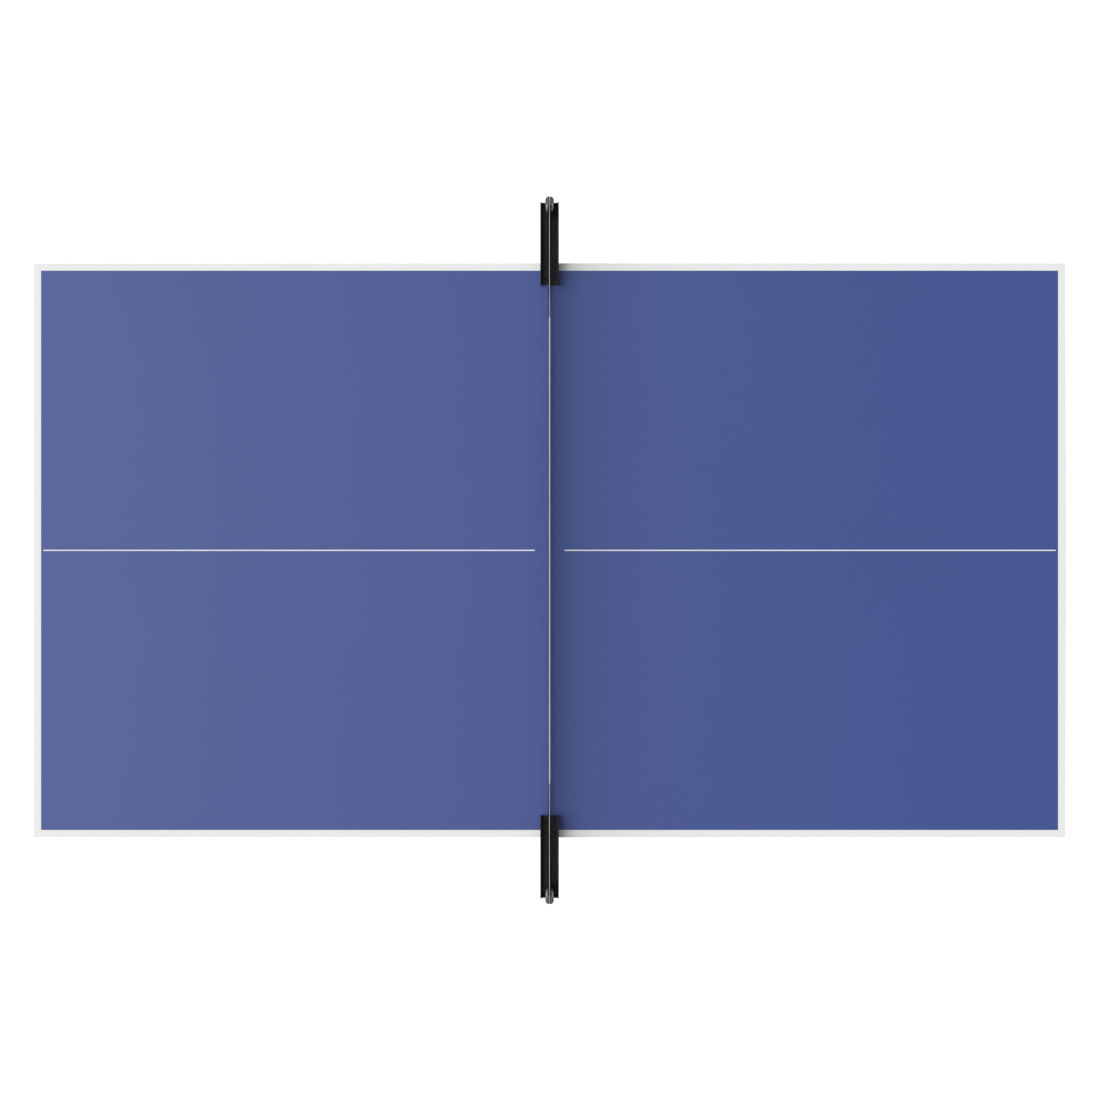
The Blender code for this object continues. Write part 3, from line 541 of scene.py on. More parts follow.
def make_dust_group():
    """Dust that gathers low down and on what faces up."""
    group, start, end = new_group("Dust", [("Amount", 0.3), ("Reach", 0.3)], ["Mask"])
    place = object_place(group)
    parts = group.nodes.new("ShaderNodeSeparateXYZ")
    feed(group, place, parts.inputs[0])
    low_down = spread(group, maths(group, "DIVIDE", parts.outputs["Z"], start.outputs["Reach"]), 0.0, 1.0, 1.0, 0.12)
    facing = group.nodes.new("ShaderNodeSeparateXYZ")
    feed(group, group.nodes.new("ShaderNodeNewGeometry").outputs["Normal"], facing.inputs[0])
    upward = spread(group, facing.outputs["Z"], 0.2, 1.0, 0.45, 1.0)
    patch = spread(group, speckle(group, place, 38.0, 5.0, 0.62), 0.36, 0.66)
    mask = maths(group, "MULTIPLY", maths(group, "MULTIPLY", low_down, upward), patch)
    feed(group, maths(group, "MULTIPLY", mask, start.outputs["Amount"], clamp=True), end.inputs["Mask"])
    return group


def make_scuff_group():
    """Small bright scuffs and rubbed spots."""
    group, start, end = new_group("Scuffs", [("Amount", 0.3), ("Size", 0.02)], ["Mask"])
    place = object_place(group)
    scale = maths(group, "DIVIDE", 1.0, start.outputs["Size"])
    long_marks = speckle(group, stretched(group, place, (1.0, 6.0, 2.5)), scale, 6.0, 0.7)
    where = spread(group, speckle(group, place, maths(group, "MULTIPLY", scale, 0.2), 2.0), 0.5, 0.66)
    marks = spread(group, long_marks, 0.60, 0.68)
    mask = maths(group, "MULTIPLY", maths(group, "MULTIPLY", marks, where), start.outputs["Amount"])
    feed(group, mask, end.inputs["Mask"])
    return group


def make_weave_group():
    """Plain weave of a cloth tape that runs along Y: a height, and a shade value that is low in the hollows between
    threads, used there for painted shade.
    """
    group, start, end = new_group("Plain weave", [("Thread", 0.0005)], ["Height", "Shade"])
    parts = group.nodes.new("ShaderNodeSeparateXYZ")
    feed(group, object_place(group), parts.inputs[0])
    turns = maths(group, "DIVIDE", math.pi, start.outputs["Thread"])
    along = maths(group, "MULTIPLY", parts.outputs["Y"], turns)
    up = maths(group, "MULTIPLY", maths(group, "ADD", parts.outputs["Z"], parts.outputs["X"]), turns)
    warp = maths(group, "ABSOLUTE", maths(group, "SINE", along))
    weft = maths(group, "ABSOLUTE", maths(group, "SINE", up))
    over = spread(group, maths(group, "MULTIPLY", maths(group, "SINE", along), maths(group, "SINE", up)), -0.2, 0.2)
    height = maths(group, "ADD", maths(group, "MULTIPLY", warp, over), maths(group, "MULTIPLY", weft, maths(group, "SUBTRACT", 1.0, over)))
    feed(group, height, end.inputs["Height"])
    feed(group, spread(group, height, 0.1, 0.8), end.inputs["Shade"])
    return group


GROUPS = {}
MATERIALS = {}


def make_groups():
    """Every shader group, once."""
    GROUPS["grain"] = make_grain_group()
    GROUPS["tone"] = make_tone_group()
    GROUPS["dust"] = make_dust_group()
    GROUPS["scuffs"] = make_scuff_group()
    GROUPS["weave"] = make_weave_group()


def grouped(tree, name, **values):
    """Group node with its values set."""
    made = tree.nodes.new("ShaderNodeGroup")
    made.node_tree = GROUPS[name]
    for label, value in values.items():
        made.inputs[label].default_value = value
    return made


def shaded(colour, factor):
    """Colour made lighter or darker."""
    return tuple(min(1.0, channel * factor) for channel in colour)


def bump(tree, height, distance, shader, strength=1.0):
    """Bump of a real depth."""
    made = tree.nodes.new("ShaderNodeBump")
    made.inputs["Strength"].default_value = strength
    made.inputs["Distance"].default_value = distance
    feed(tree, height, made.inputs["Height"])
    feed(tree, made.outputs[0], shader.inputs["Normal"])


def coat(name, colour, rough, metal=0.0, grain=(0.001, 0.00005), tone=(0.3, 0.06), dust=(0.0, 0.3),
         scuff=(0.0, 0.02), bare=(0.3, 0.3, 0.3), shine=0.5, sheen=0.0):
    """Material with grain, a drifting tone, scuffs and dust."""
    made = bpy.data.materials.new(name)
    made.use_nodes = True
    tree = made.node_tree
    shader = tree.nodes["Principled BSDF"]
    fine = grouped(tree, "grain", Size=grain[0])
    drift = grouped(tree, "tone", Size=tone[0])
    shade = mixed(tree, drift.outputs["Tone"], shaded(colour, 1 - tone[1]), shaded(colour, 1 + tone[1]))
    roughness = spread(tree, fine.outputs["Shade"], 0.0, 1.0, rough - 0.05, min(1.0, rough + 0.05))
    if scuff[0]:
        marks = grouped(tree, "scuffs", Amount=scuff[0], Size=scuff[1])
        shade = mixed(tree, marks.outputs["Mask"], shade, bare)
    if dust[0]:
        film = grouped(tree, "dust", Amount=dust[0], Reach=dust[1])
        shade = mixed(tree, film.outputs["Mask"], shade, (0.30, 0.28, 0.25))
        lift = maths(tree, "MULTIPLY", film.outputs["Mask"], 0.35)
        roughness = maths(tree, "ADD", roughness, lift, clamp=True)
    feed(tree, shade, shader.inputs["Base Color"])
    feed(tree, roughness, shader.inputs["Roughness"])
    shader.inputs["Metallic"].default_value = metal
    shader.inputs["Specular IOR Level"].default_value = shine
    shader.inputs["Sheen Weight"].default_value = sheen
    bump(tree, fine.outputs["Height"], grain[1], shader)
    MATERIALS[name] = made
    return made


def make_board_finishes(settings):
    """Paint of the playing surface and its lines, the edging and the sealed underside."""
    coat("table blue", settings.blue, 0.50, grain=(0.0011, 0.00002), tone=(0.5, 0.018), scuff=(0.05, 0.05),
         bare=shaded(settings.blue, 1.25), shine=0.75)
    coat("line white", settings.white, 0.48, grain=(0.0011, 0.00002), tone=(0.25, 0.012), scuff=(0.06, 0.03),
         bare=shaded(settings.white, 0.9), shine=0.2)
    coat("edging", settings.edging, 0.42, grain=(0.0007, 0.00002), scuff=(0.2, 0.02), bare=(0.06, 0.065, 0.08))
    made = coat("sealed fibreboard", settings.underside, 0.72, grain=(0.0009, 0.00008), tone=(0.12, 0.10))
    tree = made.node_tree
    shader = tree.nodes["Principled BSDF"]
    fibres = speckle(tree, stretched(tree, object_place(tree), (90.0, 520.0, 90.0)), 1.0, 5.0, 0.7)
    under = shader.inputs["Base Color"].links[0].from_socket
    fleck = spread(tree, fibres, 0.52, 0.66, 0.0, 0.35)
    feed(tree, mixed(tree, fleck, under, shaded(settings.underside, 2.0)), shader.inputs["Base Color"])


def make_frame_finishes(settings):
    """Powder coats, plastics, rubbers and zinc."""
    coat("grey powder coat", settings.steel, 0.46, 0.25, grain=(0.0022, 0.00007), tone=(0.2, 0.08),
         dust=(0.30, 0.45), scuff=(0.28, 0.012), bare=(0.20, 0.20, 0.205))
    coat("black powder coat", settings.black, 0.40, 0.1, grain=(0.0019, 0.00006), tone=(0.1, 0.08),
         scuff=(0.22, 0.010), bare=(0.07, 0.07, 0.072), dust=(0.02, 1.0), shine=0.35)
    coat("black plastic", settings.plastic, 0.52, grain=(0.0008, 0.00004), tone=(0.1, 0.1), dust=(0.30, 0.25))
    coat("foot rubber", (0.022, 0.022, 0.023), 0.82, grain=(0.0012, 0.0001), tone=(0.03, 0.12), dust=(0.55, 0.05))
    coat("tyre rubber", (0.085, 0.086, 0.09), 0.70, grain=(0.0010, 0.00008), tone=(0.05, 0.12), dust=(0.6, 0.06),
         scuff=(0.3, 0.012), bare=(0.16, 0.16, 0.155))
    coat("wheel plastic", (0.028, 0.028, 0.030), 0.45, grain=(0.0009, 0.00004), tone=(0.06, 0.1), dust=(0.4, 0.12))
    coat("nylon", (0.50, 0.49, 0.45), 0.45, grain=(0.0007, 0.00003), tone=(0.02, 0.06))
    made = coat("zinc plate", settings.zinc, 0.30, 1.0, grain=(0.0012, 0.00003), tone=(0.03, 0.10), dust=(0.12, 0.3))
    tree = made.node_tree
    shader = tree.nodes["Principled BSDF"]
    crystal = tree.nodes.new("ShaderNodeTexVoronoi")
    feed(tree, object_place(tree), crystal.inputs["Vector"])
    crystal.inputs["Scale"].default_value = 420.0
    flake = tree.nodes.new("ShaderNodeSeparateColor")
    feed(tree, crystal.outputs["Color"], flake.inputs[0])
    under = shader.inputs["Base Color"].links[0].from_socket
    tint = spread(tree, flake.outputs[0], 0.0, 1.0, 0.0, 0.16)
    feed(tree, mixed(tree, tint, under, (0.44, 0.43, 0.38)), shader.inputs["Base Color"])
    rough = shader.inputs["Roughness"].links[0].from_socket
    varied = maths(tree, "ADD", rough, maths(tree, "MULTIPLY", flake.outputs[1], 0.14))
    feed(tree, varied, shader.inputs["Roughness"])


def make_net_finishes(settings):
    """Cord, woven tape, hem, thread, satin chrome and cap plastic."""
    coat("net cord", settings.net, 0.88, grain=(0.0004, 0.00005), tone=(0.05, 0.18), sheen=0.25)
    for name, colour, rough in (("tape cloth", settings.tape, 0.86), ("hem cloth", settings.net, 0.9)):
        made = coat(name, colour, rough, tone=(0.15, 0.02), sheen=0.2)
        tree = made.node_tree
        shader = tree.nodes["Principled BSDF"]
        weave = grouped(tree, "weave", Thread=0.0006)
        under = shader.inputs["Base Color"].links[0].from_socket
        # Painted shade: the tape and hem cloth are painted darker in the hollows between their threads.
        between = spread(tree, weave.outputs["Shade"], 0.0, 1.0, 0.28, 0.0)
        feed(tree, mixed(tree, between, under, shaded(colour, 0.55)), shader.inputs["Base Color"])
        bump(tree, weave.outputs["Height"], 0.00008, shader)
    coat("thread", shaded(settings.tape, 0.9), 0.8, grain=(0.0003, 0.00004))
    made = coat("satin chrome", settings.chrome, 0.34, 0.45, grain=(0.0008, 0.00001), tone=(0.05, 0.04))
    tree = made.node_tree
    shader = tree.nodes["Principled BSDF"]
    brushed = speckle(tree, stretched(tree, object_place(tree), (2600.0, 2600.0, 45.0)), 1.0, 3.0)
    rough = shader.inputs["Roughness"].links[0].from_socket
    varied = maths(tree, "ADD", rough, spread(tree, brushed, 0.3, 0.7, -0.04, 0.10))
    feed(tree, varied, shader.inputs["Roughness"])
    coat("cap plastic", settings.cap, 0.42, grain=(0.0007, 0.00003), tone=(0.02, 0.08))


def material(name):
    """Material by name."""
    return MATERIALS[name]


# ---------------------------------------------------------------- boards and aprons


def board_shape(settings):
    """Board with its painted lines."""
    low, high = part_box("tabletop_right")
    shape = soft_block(low, high, settings.edge_round)
    line_x = high.x - settings.border
    line_y = high.y - settings.border
    half = settings.centre_line / 2
    near, far = settings.centre_gap, line_x - settings.centre_inset
    along_x = [line_x, near, far]
    along_y = [line_y, -line_y, half, -half]
    for way, values in ((AXES["X"], along_x), (AXES["Y"], along_y)):
        for value in values:
            geom = shape.verts[:] + shape.edges[:] + shape.faces[:]
            bmesh.ops.bisect_plane(shape, geom=geom, dist=MERGE, plane_co=way * value, plane_no=way)
    shape.normal_update()
    for face in shape.faces:
        middle = face.calc_center_median()
        on_border = middle.x > line_x or abs(middle.y) > line_y
        on_centre = abs(middle.y) < half and near < middle.x < far
        if face.normal.z > 0.3:
            face.material_index = 1 if on_border or on_centre else 0
        else:
            face.material_index = 3 if face.normal.z < -0.3 else 2
    return shape


def seam_shade_strip_shape():
    """Dark strip along the seam between the halves, low on the board's inner edge, that stands in for the shade in the
    open gap.
    """
    low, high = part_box("tabletop_right")
    proud, height, inset = 0.0011, 0.004, 0.004
    start = (low.x - proud, low.y + inset, low.z + 0.0003)
    return soft_block(start, (low.x + proud, high.y - inset, low.z + height), 0.0004)


def corner_cap_shape():
    """Moulded protector round a corner of the apron, with a lip under both tubes."""
    low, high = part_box("side_rail_right_back")
    end_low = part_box("end_rail_right")[0]
    skin, reach, lip, tuck = 0.0032, 0.046, 0.0016, 0.0003
    out_x, out_y = high.x + skin, high.y + skin
    back_x, back_y = high.x - reach, high.y - reach
    rounded = arc((out_x - CAP_CORNER, out_y - CAP_CORNER), CAP_CORNER, 90, 0, 6)
    outer = [(back_x, out_y), *rounded, (out_x, back_y)]
    wall = outer + [(high.x - tuck, back_y), (high.x - tuck, high.y - tuck), (back_x, high.y - tuck)]
    under = outer + [(end_low.x, back_y), (end_low.x, low.y), (back_x, low.y)]
    skirt = softened(slab(wall, low.z - lip, high.z - 0.0006), 0.0007, 2, 50)
    return gather(skirt, softened(slab(under, low.z - lip, low.z + tuck), 0.0005, 1, 50))


def bracket_shape(width, drop=0.024, depth=0.022, plate=0.002):
    """Angle bracket in the XZ plane at the origin: it hangs on a face that looks along X."""
    half = width / 2
    upright = soft_block((0, -half, -drop), (plate, half, 0), 0.0006)
    flat = soft_block((0, -half, -plate), (depth, half, 0), 0.0006)
    shape = gather(upright, flat)
    for y in (-half * 0.5, half * 0.5):
        shape = gather(shape, painted(pan_screw(0.0038, (plate, y, -drop * 0.62), AXES["X"]), 1))
    return gather(shape, painted(pan_screw(0.0042, (depth * 0.62, 0, -plate), -AXES["Z"]), 1))


def placed_bracket(settings, at, turn):
    """Bracket turned about Z and set in place."""
    shape = bracket_shape(settings.bracket)
    bmesh.ops.rotate(shape, matrix=Matrix.Rotation(turn, 3, "Z"), verts=shape.verts)
    bmesh.ops.translate(shape, vec=at, verts=shape.verts)
    return shape


def bracket_places():
    """Where the brackets of one half stand, and which way they look."""
    side_low, side_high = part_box("side_rail_right_back")
    inner_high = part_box("inner_rail_right")[1]
    end_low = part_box("end_rail_right")[0]
    top = side_high.z
    places = []
    for y in (-0.52, -0.18, 0.18, 0.52):
        places.append(((inner_high.x, y, top), 0.0))
        places.append(((end_low.x, y, top), math.pi))
    for x in (0.52, 0.78, 0.98, 1.25):
        for row in (-1, 1):
            places.append(((x, row * side_low.y, top), -row * math.pi / 2))
    return places


def rail_screw_shape():
    """Row of pan heads under the apron of one half."""
    side_low, side_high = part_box("side_rail_right_back")
    inner_low, inner_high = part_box("inner_rail_right")
    end_low, end_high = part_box("end_rail_right")
    middle_y = (side_low.y + side_high.y) / 2
    heads = []
    for x in (0.09, 0.42, 0.70, 0.98, 1.22):
        for row in (-1, 1):
            heads.append((x, row * middle_y))
    for y in (-0.6, -0.3, 0.0, 0.3, 0.6):
        heads.append(((inner_low.x + inner_high.x) / 2, y))
        heads.append(((end_low.x + end_high.x) / 2, y))
    shapes = []
    for x, y in heads:
        at = (x, y, side_low.z)
        shapes.append(ring(0.0075, 0.0035, at, (x, y, side_low.z - 0.0008), SMALL_ROUND))
        shapes.append(pan_screw(0.0048, (x, y, side_low.z - 0.0006), -AXES["Z"]))
    return gather(*shapes)


class TABLE_OT_boards(bpy.types.Operator):
    """Make the two boards with their lines and edging, and the dark seam strips that stand in for the shade in the gap
    between them
    """

    bl_idname = "table_tennis.boards"
    bl_label = "Boards"

    def execute(self, context):
        settings = context.scene.table_board
        make_board_finishes(settings)
        finishes = ("table blue", "line white", "edging", "sealed fibreboard")
        for side_name, side in SIDES:
            shape = mirrored(board_shape(settings), side, 1)
            body = f"half_{side_name}"
            nodes = (f"tabletop_{side_name}",)
            piece(f"board_{side_name}", shape, finishes, body, nodes)
            # Dark strip in the seam: it stands in for the shade in the gap between the halves.
            seal = mirrored(seam_shade_strip_shape(), side, 1)
            piece(f"seam_shade_strip_{side_name}", seal, ("black plastic",), body, ())
        return {"FINISHED"}


class TABLE_OT_aprons(bpy.types.Operator):
    """Make the rails, corner protectors, brackets and screws under the boards"""

    bl_idname = "table_tennis.aprons"
    bl_label = "Aprons"

    def execute(self, context):
        settings = context.scene.table_frame
        for side_name, side in SIDES:
            body = f"half_{side_name}"
            for end in ("inner", "end"):
                low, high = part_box(f"{end}_rail_right")
                rail = square_tube(low, high, "Y", settings.corner, settings.wall)
                welds = []
                for row in (-1, 1):
                    y = row * (high.y - settings.weld * 0.2)
                    for x in (low.x, high.x):
                        welds.append(bead_line((x, y, low.z + 0.003), (x, y, high.z - 0.003), settings.weld))
                    welds.append(bead_line((low.x + 0.003, y, low.z), (high.x - 0.003, y, low.z), settings.weld))
                shape = mirrored(gather(rail, *welds), side, 1)
                nodes = (f"{end}_rail_{side_name}",)
                piece(f"{end}_rail_tube_{side_name}", shape, ("grey powder coat",), body, nodes)
            for row_name, row in ROWS:
                low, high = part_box("side_rail_right_back")
                rail = square_tube(low, high, "X", settings.corner, settings.wall)
                suffix = f"{side_name}_{row_name}"
                nodes = (f"side_rail_{suffix}",)
                shape = mirrored(rail, side, row)
                piece(f"side_rail_tube_{suffix}", shape, ("grey powder coat",), body, nodes)
                cap = mirrored(corner_cap_shape(), side, row)
                piece(f"corner_cap_{suffix}", cap, ("black plastic",), body, ())
            brackets = [placed_bracket(settings, at, turn) for at, turn in bracket_places()]
            shape = mirrored(gather(*brackets), side, 1)
            piece(f"brackets_{side_name}", shape, ("grey powder coat", "zinc plate"), body, ())
            screws = mirrored(rail_screw_shape(), side, 1)
            piece(f"rail_screws_{side_name}", screws, ("zinc plate",), body, ())
        return {"FINISHED"}


# ---------------------------------------------------------------- pins and hooks


def headed_pin_shape(node, circlip):
    """Pin with a domed head and a washer, and a circlip near its inner end."""
    low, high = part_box(node)
    middle = (low + high) / 2
    rail_low, rail_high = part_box("side_rail_right_back")
    head = (high.x - low.x) / 2
    shank = head * 10 / 18
    face = rail_high.y
    washer = 0.0009
    outline = [(0, low.y), (shank - 0.0008, low.y), (shank, low.y + 0.0008), (shank, face + washer)]
    rim = high.y - face - washer - 0.0012
    outline += [(head, face + washer), (head, face + washer + rim * 0.5)]
    outline += [(head * 0.86, high.y - 0.0006), (head * 0.45, high.y), (0, high.y)]
    pin = aimed(turned(outline, 24), OUT_Y, (middle.x, 0, middle.z))
    at = (middle.x, face + 0.0001, middle.z)
    shape = gather(pin, ring(head * 1.25, shank, at, (middle.x, face + washer, middle.z), 24))
    if circlip:
        start = (middle.x, low.y + 0.0018, middle.z)
        end = (middle.x, low.y + 0.0028, middle.z)
        shape = gather(shape, ring(shank * 1.45, shank * 0.9, start, end, 20))
    return shape


def hook_shape():
    """Storage hook for the right-hand side, with a rounded tip and a notch for the stud."""
    pivot = joint_at("hook_right_turn")
    length = pivot.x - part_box("storage_hook_right")[0].x
    thick, half, notch = 0.004, 0.008, 0.005
    notch_x = -(length - notch - half / 2)
    outline = arc((0, 0), half, -90, 90, 10)
    outline += arc((half - length, 0.0), half, 90, 180, 5)
    outline += arc((half * 0.5 - length, -half * 0.5), half * 0.5, 180, 270, 4)
    outline += [(notch_x - notch, -half)]
    outline += arc((notch_x, 0), notch, 180, 0, 8)
    outline += [(notch_x + notch, -half)]
    shape = softened(prism(outline, -thick / 2, thick / 2), 0.0005, 2, 50)
    bolt = hex_head(0.009, 0.0026, (0, -thick / 2, 0), IN_Y, 0.0006)
    shank = rod(0.003, (0, 0, 0), (0, 0.0055, 0), SMALL_ROUND)
    shape = gather(shape, painted(bolt, 1), painted(shank, 1))
    bmesh.ops.translate(shape, vec=pivot, verts=shape.verts)
    return shape


class TABLE_OT_pins(bpy.types.Operator):
    """Make the hinge pins, the leg pins and the storage hooks"""

    bl_idname = "table_tennis.pins"
    bl_label = "Pins and hooks"

    def execute(self, context):
        for side_name, side in SIDES:
            for row_name, row in ROWS:
                suffix = f"{side_name}_{row_name}"
                for kind, body, clip in (("leg", f"half_{side_name}", False), ("hinge", "trolley", True)):
                    shape = mirrored(headed_pin_shape(f"{kind}_pin_right_back", clip), side, row)
                    nodes = (f"{kind}_pin_{suffix}",)
                    piece(f"{kind}_bolt_{suffix}", shape, ("zinc plate",), body, nodes)
            shape = mirrored(hook_shape(), side, 1)
            body = f"hook_{side_name}"
            nodes = (f"storage_hook_{side_name}",)
            piece(f"fold_hook_{side_name}", shape, ("zinc plate", "zinc plate"), body, nodes)
        return {"FINISHED"}


# ---------------------------------------------------------------- end legs


def leg_shape(settings):
    """Leg tube with its stub, welds, plugs and the bush for the link rod."""
    low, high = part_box("leg_right_back")
    foot_low, foot_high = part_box("levelling_foot_right_back")
    centre = (foot_low + foot_high) / 2
    pivot = joint_at("leg_swing_right")
    radius = (high.x - low.x) / 2
    bore = radius - 0.0015
    x, y = centre.x, centre.y
    outline = [(bore, low.z), (radius - 0.0005, low.z), (radius, low.z + 0.0005)]
    outline += [(radius, high.z - 0.0005), (radius - 0.0005, high.z), (bore, high.z), (bore, high.z - 0.02)]
    outline += [(bore, low.z + 0.02)]
    tube = aimed(turned(outline), UP, (x, y, 0))
    stub_end = high.y
    stub = rod(0.011, (x, y, pivot.z), (x, stub_end, pivot.z))
    weld = bead_ring((x, y + radius * 0.80, pivot.z), OUT_Y, 0.0118, settings.weld)
    shape = gather(tube, stub, weld)
    plug = [(0, -0.008), (bore, -0.008), (bore, 0.0), (radius + 0.0004, 0.0)]
    plug += [(r, 0.0008 + h) for r, h in dome(radius + 0.0004, 0.0026)]
    top = aimed(turned(plug), UP, (x, y, high.z))
    collar = [(0.0058, -0.0012), (radius + 0.0002, -0.0012), (radius + 0.0014, 0.0)]
    collar += [(radius + 0.0014, 0.016), (radius + 0.0002, 0.0175), (bore, 0.0175), (bore, 0.020), (0.0058, 0.020)]
    foot = aimed(turned(collar), UP, (x, y, low.z))
    link_z = pivot.z - (joint_at("fold_right").z - joint_at("link_swing_right").z)
    start = (x, y + radius - 0.0012, link_z)
    bush = ring(0.0078, 0.0045, start, (x, y + radius + 0.0016, link_z), 24)
    return gather(shape, painted(top, 1), painted(foot, 1), painted(bush, 2))


def crossbar_shape(settings):
    """Tube between two legs, welded to both."""
    low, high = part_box("leg_crossbar_right")
    middle = (low + high) / 2
    radius = (high.z - low.z) / 2
    shape = rod(radius, (middle.x, low.y, middle.z), (middle.x, high.y, middle.z))
    leg_low, leg_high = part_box("leg_right_back")
    leg_radius = (leg_high.x - leg_low.x) / 2
    for row in (-1, 1):
        leg_y = row * (high.y + leg_radius * math.sqrt(1 - (radius / leg_radius) ** 2))
        path = []
        for i in range(36):
            angle = math.tau * i / 36
            x = radius * math.cos(angle)
            inset = math.sqrt(max(leg_radius**2 - x**2, 0.0))
            path.append((middle.x + x, row * (abs(leg_y) - inset), middle.z + radius * math.sin(angle)))
        shape = gather(shape, bead(path, settings.weld, True))
    return shape


def foot_shape():
    """Levelling foot: a ribbed rubber pad and a threaded stem."""
    low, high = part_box("levelling_foot_right_back")
    middle = (low + high) / 2
    radius = (high.x - low.x) / 2
    pad = [(0, 0.0012), (radius * 0.45, 0.0012), (radius * 0.5, 0), (radius - 0.0012, 0), (radius, 0.0012)]
    pad += [(radius, 0.0040), (radius - 0.0010, 0.0050), (radius - 0.0042, 0.0066), (radius * 0.62, 0.0092)]
    pad += [(0.0105, 0.0112), (0.0098, 0.012), (0, 0.012)]
    shape = turned(pad, 48)
    for vert in shape.verts:
        distance = math.hypot(vert.co.x, vert.co.y)
        if distance > radius * 0.9 and 0.001 < vert.co.z < 0.0055:
            spoke = round(math.atan2(vert.co.y, vert.co.x) / math.tau * 48)
            share = 1.0 if spoke % 2 else 0.965
            vert.co.x *= share
            vert.co.y *= share
    painted(shape, 0)
    core, crest, pitch = 0.0043, 0.005, 0.0015
    stem = [(0, 0.0112), (core, 0.0112)]
    height = 0.0125
    while height + pitch < high.z - low.z - 0.001:
        stem += [(core, height), (crest, height + pitch / 2)]
        height += pitch
    stem += [(core, height), (core - 0.0006, high.z - low.z), (0, high.z - low.z)]
    shape = gather(shape, painted(turned(stem, 20), 1))
    bmesh.ops.translate(shape, vec=(middle.x, middle.y, low.z), verts=shape.verts)
    return shape


def link_shape():
    """Link rod with an eye at each end, its studs and nuts, and a push-on cap outside the gusset."""
    start = joint_at("link_swing_right")
    leg = joint_at("leg_swing_right")
    drop = joint_at("fold_right").z - start.z
    low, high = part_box("link_rod_right_back")
    gusset_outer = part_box("column_right_back")[1].y
    foot_low, foot_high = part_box("levelling_foot_right_back")
    radius, flat, eye_half = 0.006, 0.020, 0.0048
    y = (foot_low.y + foot_high.y) / 2 + 0.020 + radius
    first, last = Vector((start.x, y, start.z)), Vector((leg.x, y, leg.z - drop))
    way = (last - first).normalized()
    shapes = [rod(radius, first + way * flat, last - way * flat, 24)]
    disc = [(0, -eye_half), (0.0088, -eye_half), (0.0088, eye_half), (0, eye_half)]
    for at, inward in ((first, way), (last, -way)):
        shapes.append(aimed(softened(turned(disc, 24), 0.0010), OUT_Y, at))
        neck = soft_block((0, -0.0042, -0.0062), (flat + 0.004, 0.0042, 0.0062), 0.0012)
        turn = AXES["X"].rotation_difference(inward).to_matrix()
        bmesh.ops.rotate(neck, matrix=turn, verts=neck.verts)
        bmesh.ops.translate(neck, vec=at, verts=neck.verts)
        collar_at = at + inward * flat
        collar = ring(radius + 0.0012, 0.001, collar_at, collar_at + inward * 0.009, 24)
        shapes += [neck, collar]
    across, washer = 0.013, 0.0008
    near, far = y - eye_half + 0.0002, y + eye_half - 0.0002
    shapes.append(rod(0.004, first, (first.x, gusset_outer + 0.0006, first.z), 20))
    shapes.append(rod(0.004, last, (last.x, low.y, last.z), 20))
    shapes.append(hex_head(across, 0.006, (first.x, gusset_outer - GUSSET - 0.0005, first.z), IN_Y, washer))
    shapes.append(hex_head(across, 0.0035, (last.x, far, last.z), OUT_Y, washer))
    shapes.append(hex_head(across, 0.0045, (first.x, near, first.z), IN_Y, washer))
    cap = [(0, 0), (0.0066, 0)] + dome(0.0066, 0.0021)
    shapes.append(aimed(turned(cap, 24), OUT_Y, (first.x, gusset_outer + 0.0002, first.z)))
    return gather(*shapes)


class TABLE_OT_legs(bpy.types.Operator):
    """Make the end legs with their crossbars, feet and link rods"""

    bl_idname = "table_tennis.legs"
    bl_label = "Legs, feet and link rods"

    def execute(self, context):
        settings = context.scene.table_frame
        leg_finishes = ("grey powder coat", "black plastic", "nylon")
        for side_name, side in SIDES:
            bar = mirrored(crossbar_shape(settings), side, 1)
            nodes = (f"leg_crossbar_{side_name}",)
            body = f"legs_{side_name}"
            piece(f"crossbar_{side_name}", bar, ("grey powder coat",), body, nodes)
            for row_name, row in ROWS:
                suffix = f"{side_name}_{row_name}"
                shape = mirrored(leg_shape(settings), side, row)
                piece(f"leg_tube_{suffix}", shape, leg_finishes, body, (f"leg_{suffix}",))
                foot = mirrored(foot_shape(), side, row)
                nodes = (f"levelling_foot_{suffix}",)
                finishes = ("foot rubber", "zinc plate")
                piece(f"foot_{suffix}", foot, finishes, f"foot_{suffix}", nodes)
                link = mirrored(link_shape(), side, row)
                nodes = (f"link_rod_{suffix}",)
                piece(f"link_{suffix}", link, ("zinc plate",), f"links_{side_name}", nodes)
        return {"FINISHED"}


# ---------------------------------------------------------------- trolley


def beam_shape(settings):
    """Base beam with plastic end caps."""
    low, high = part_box("base_beam_back")
    shape = square_tube(low, high, "X", settings.corner, settings.wall)
    for sign in (-1, 1):
        x = high.x if sign > 0 else low.x
        lip = sorted((x, x + sign * 0.0022))
        cap = soft_block((lip[0], low.y, low.z), (lip[1], high.y, high.z), 0.0009)
        shape = gather(shape, painted(cap, 1))
    return shape


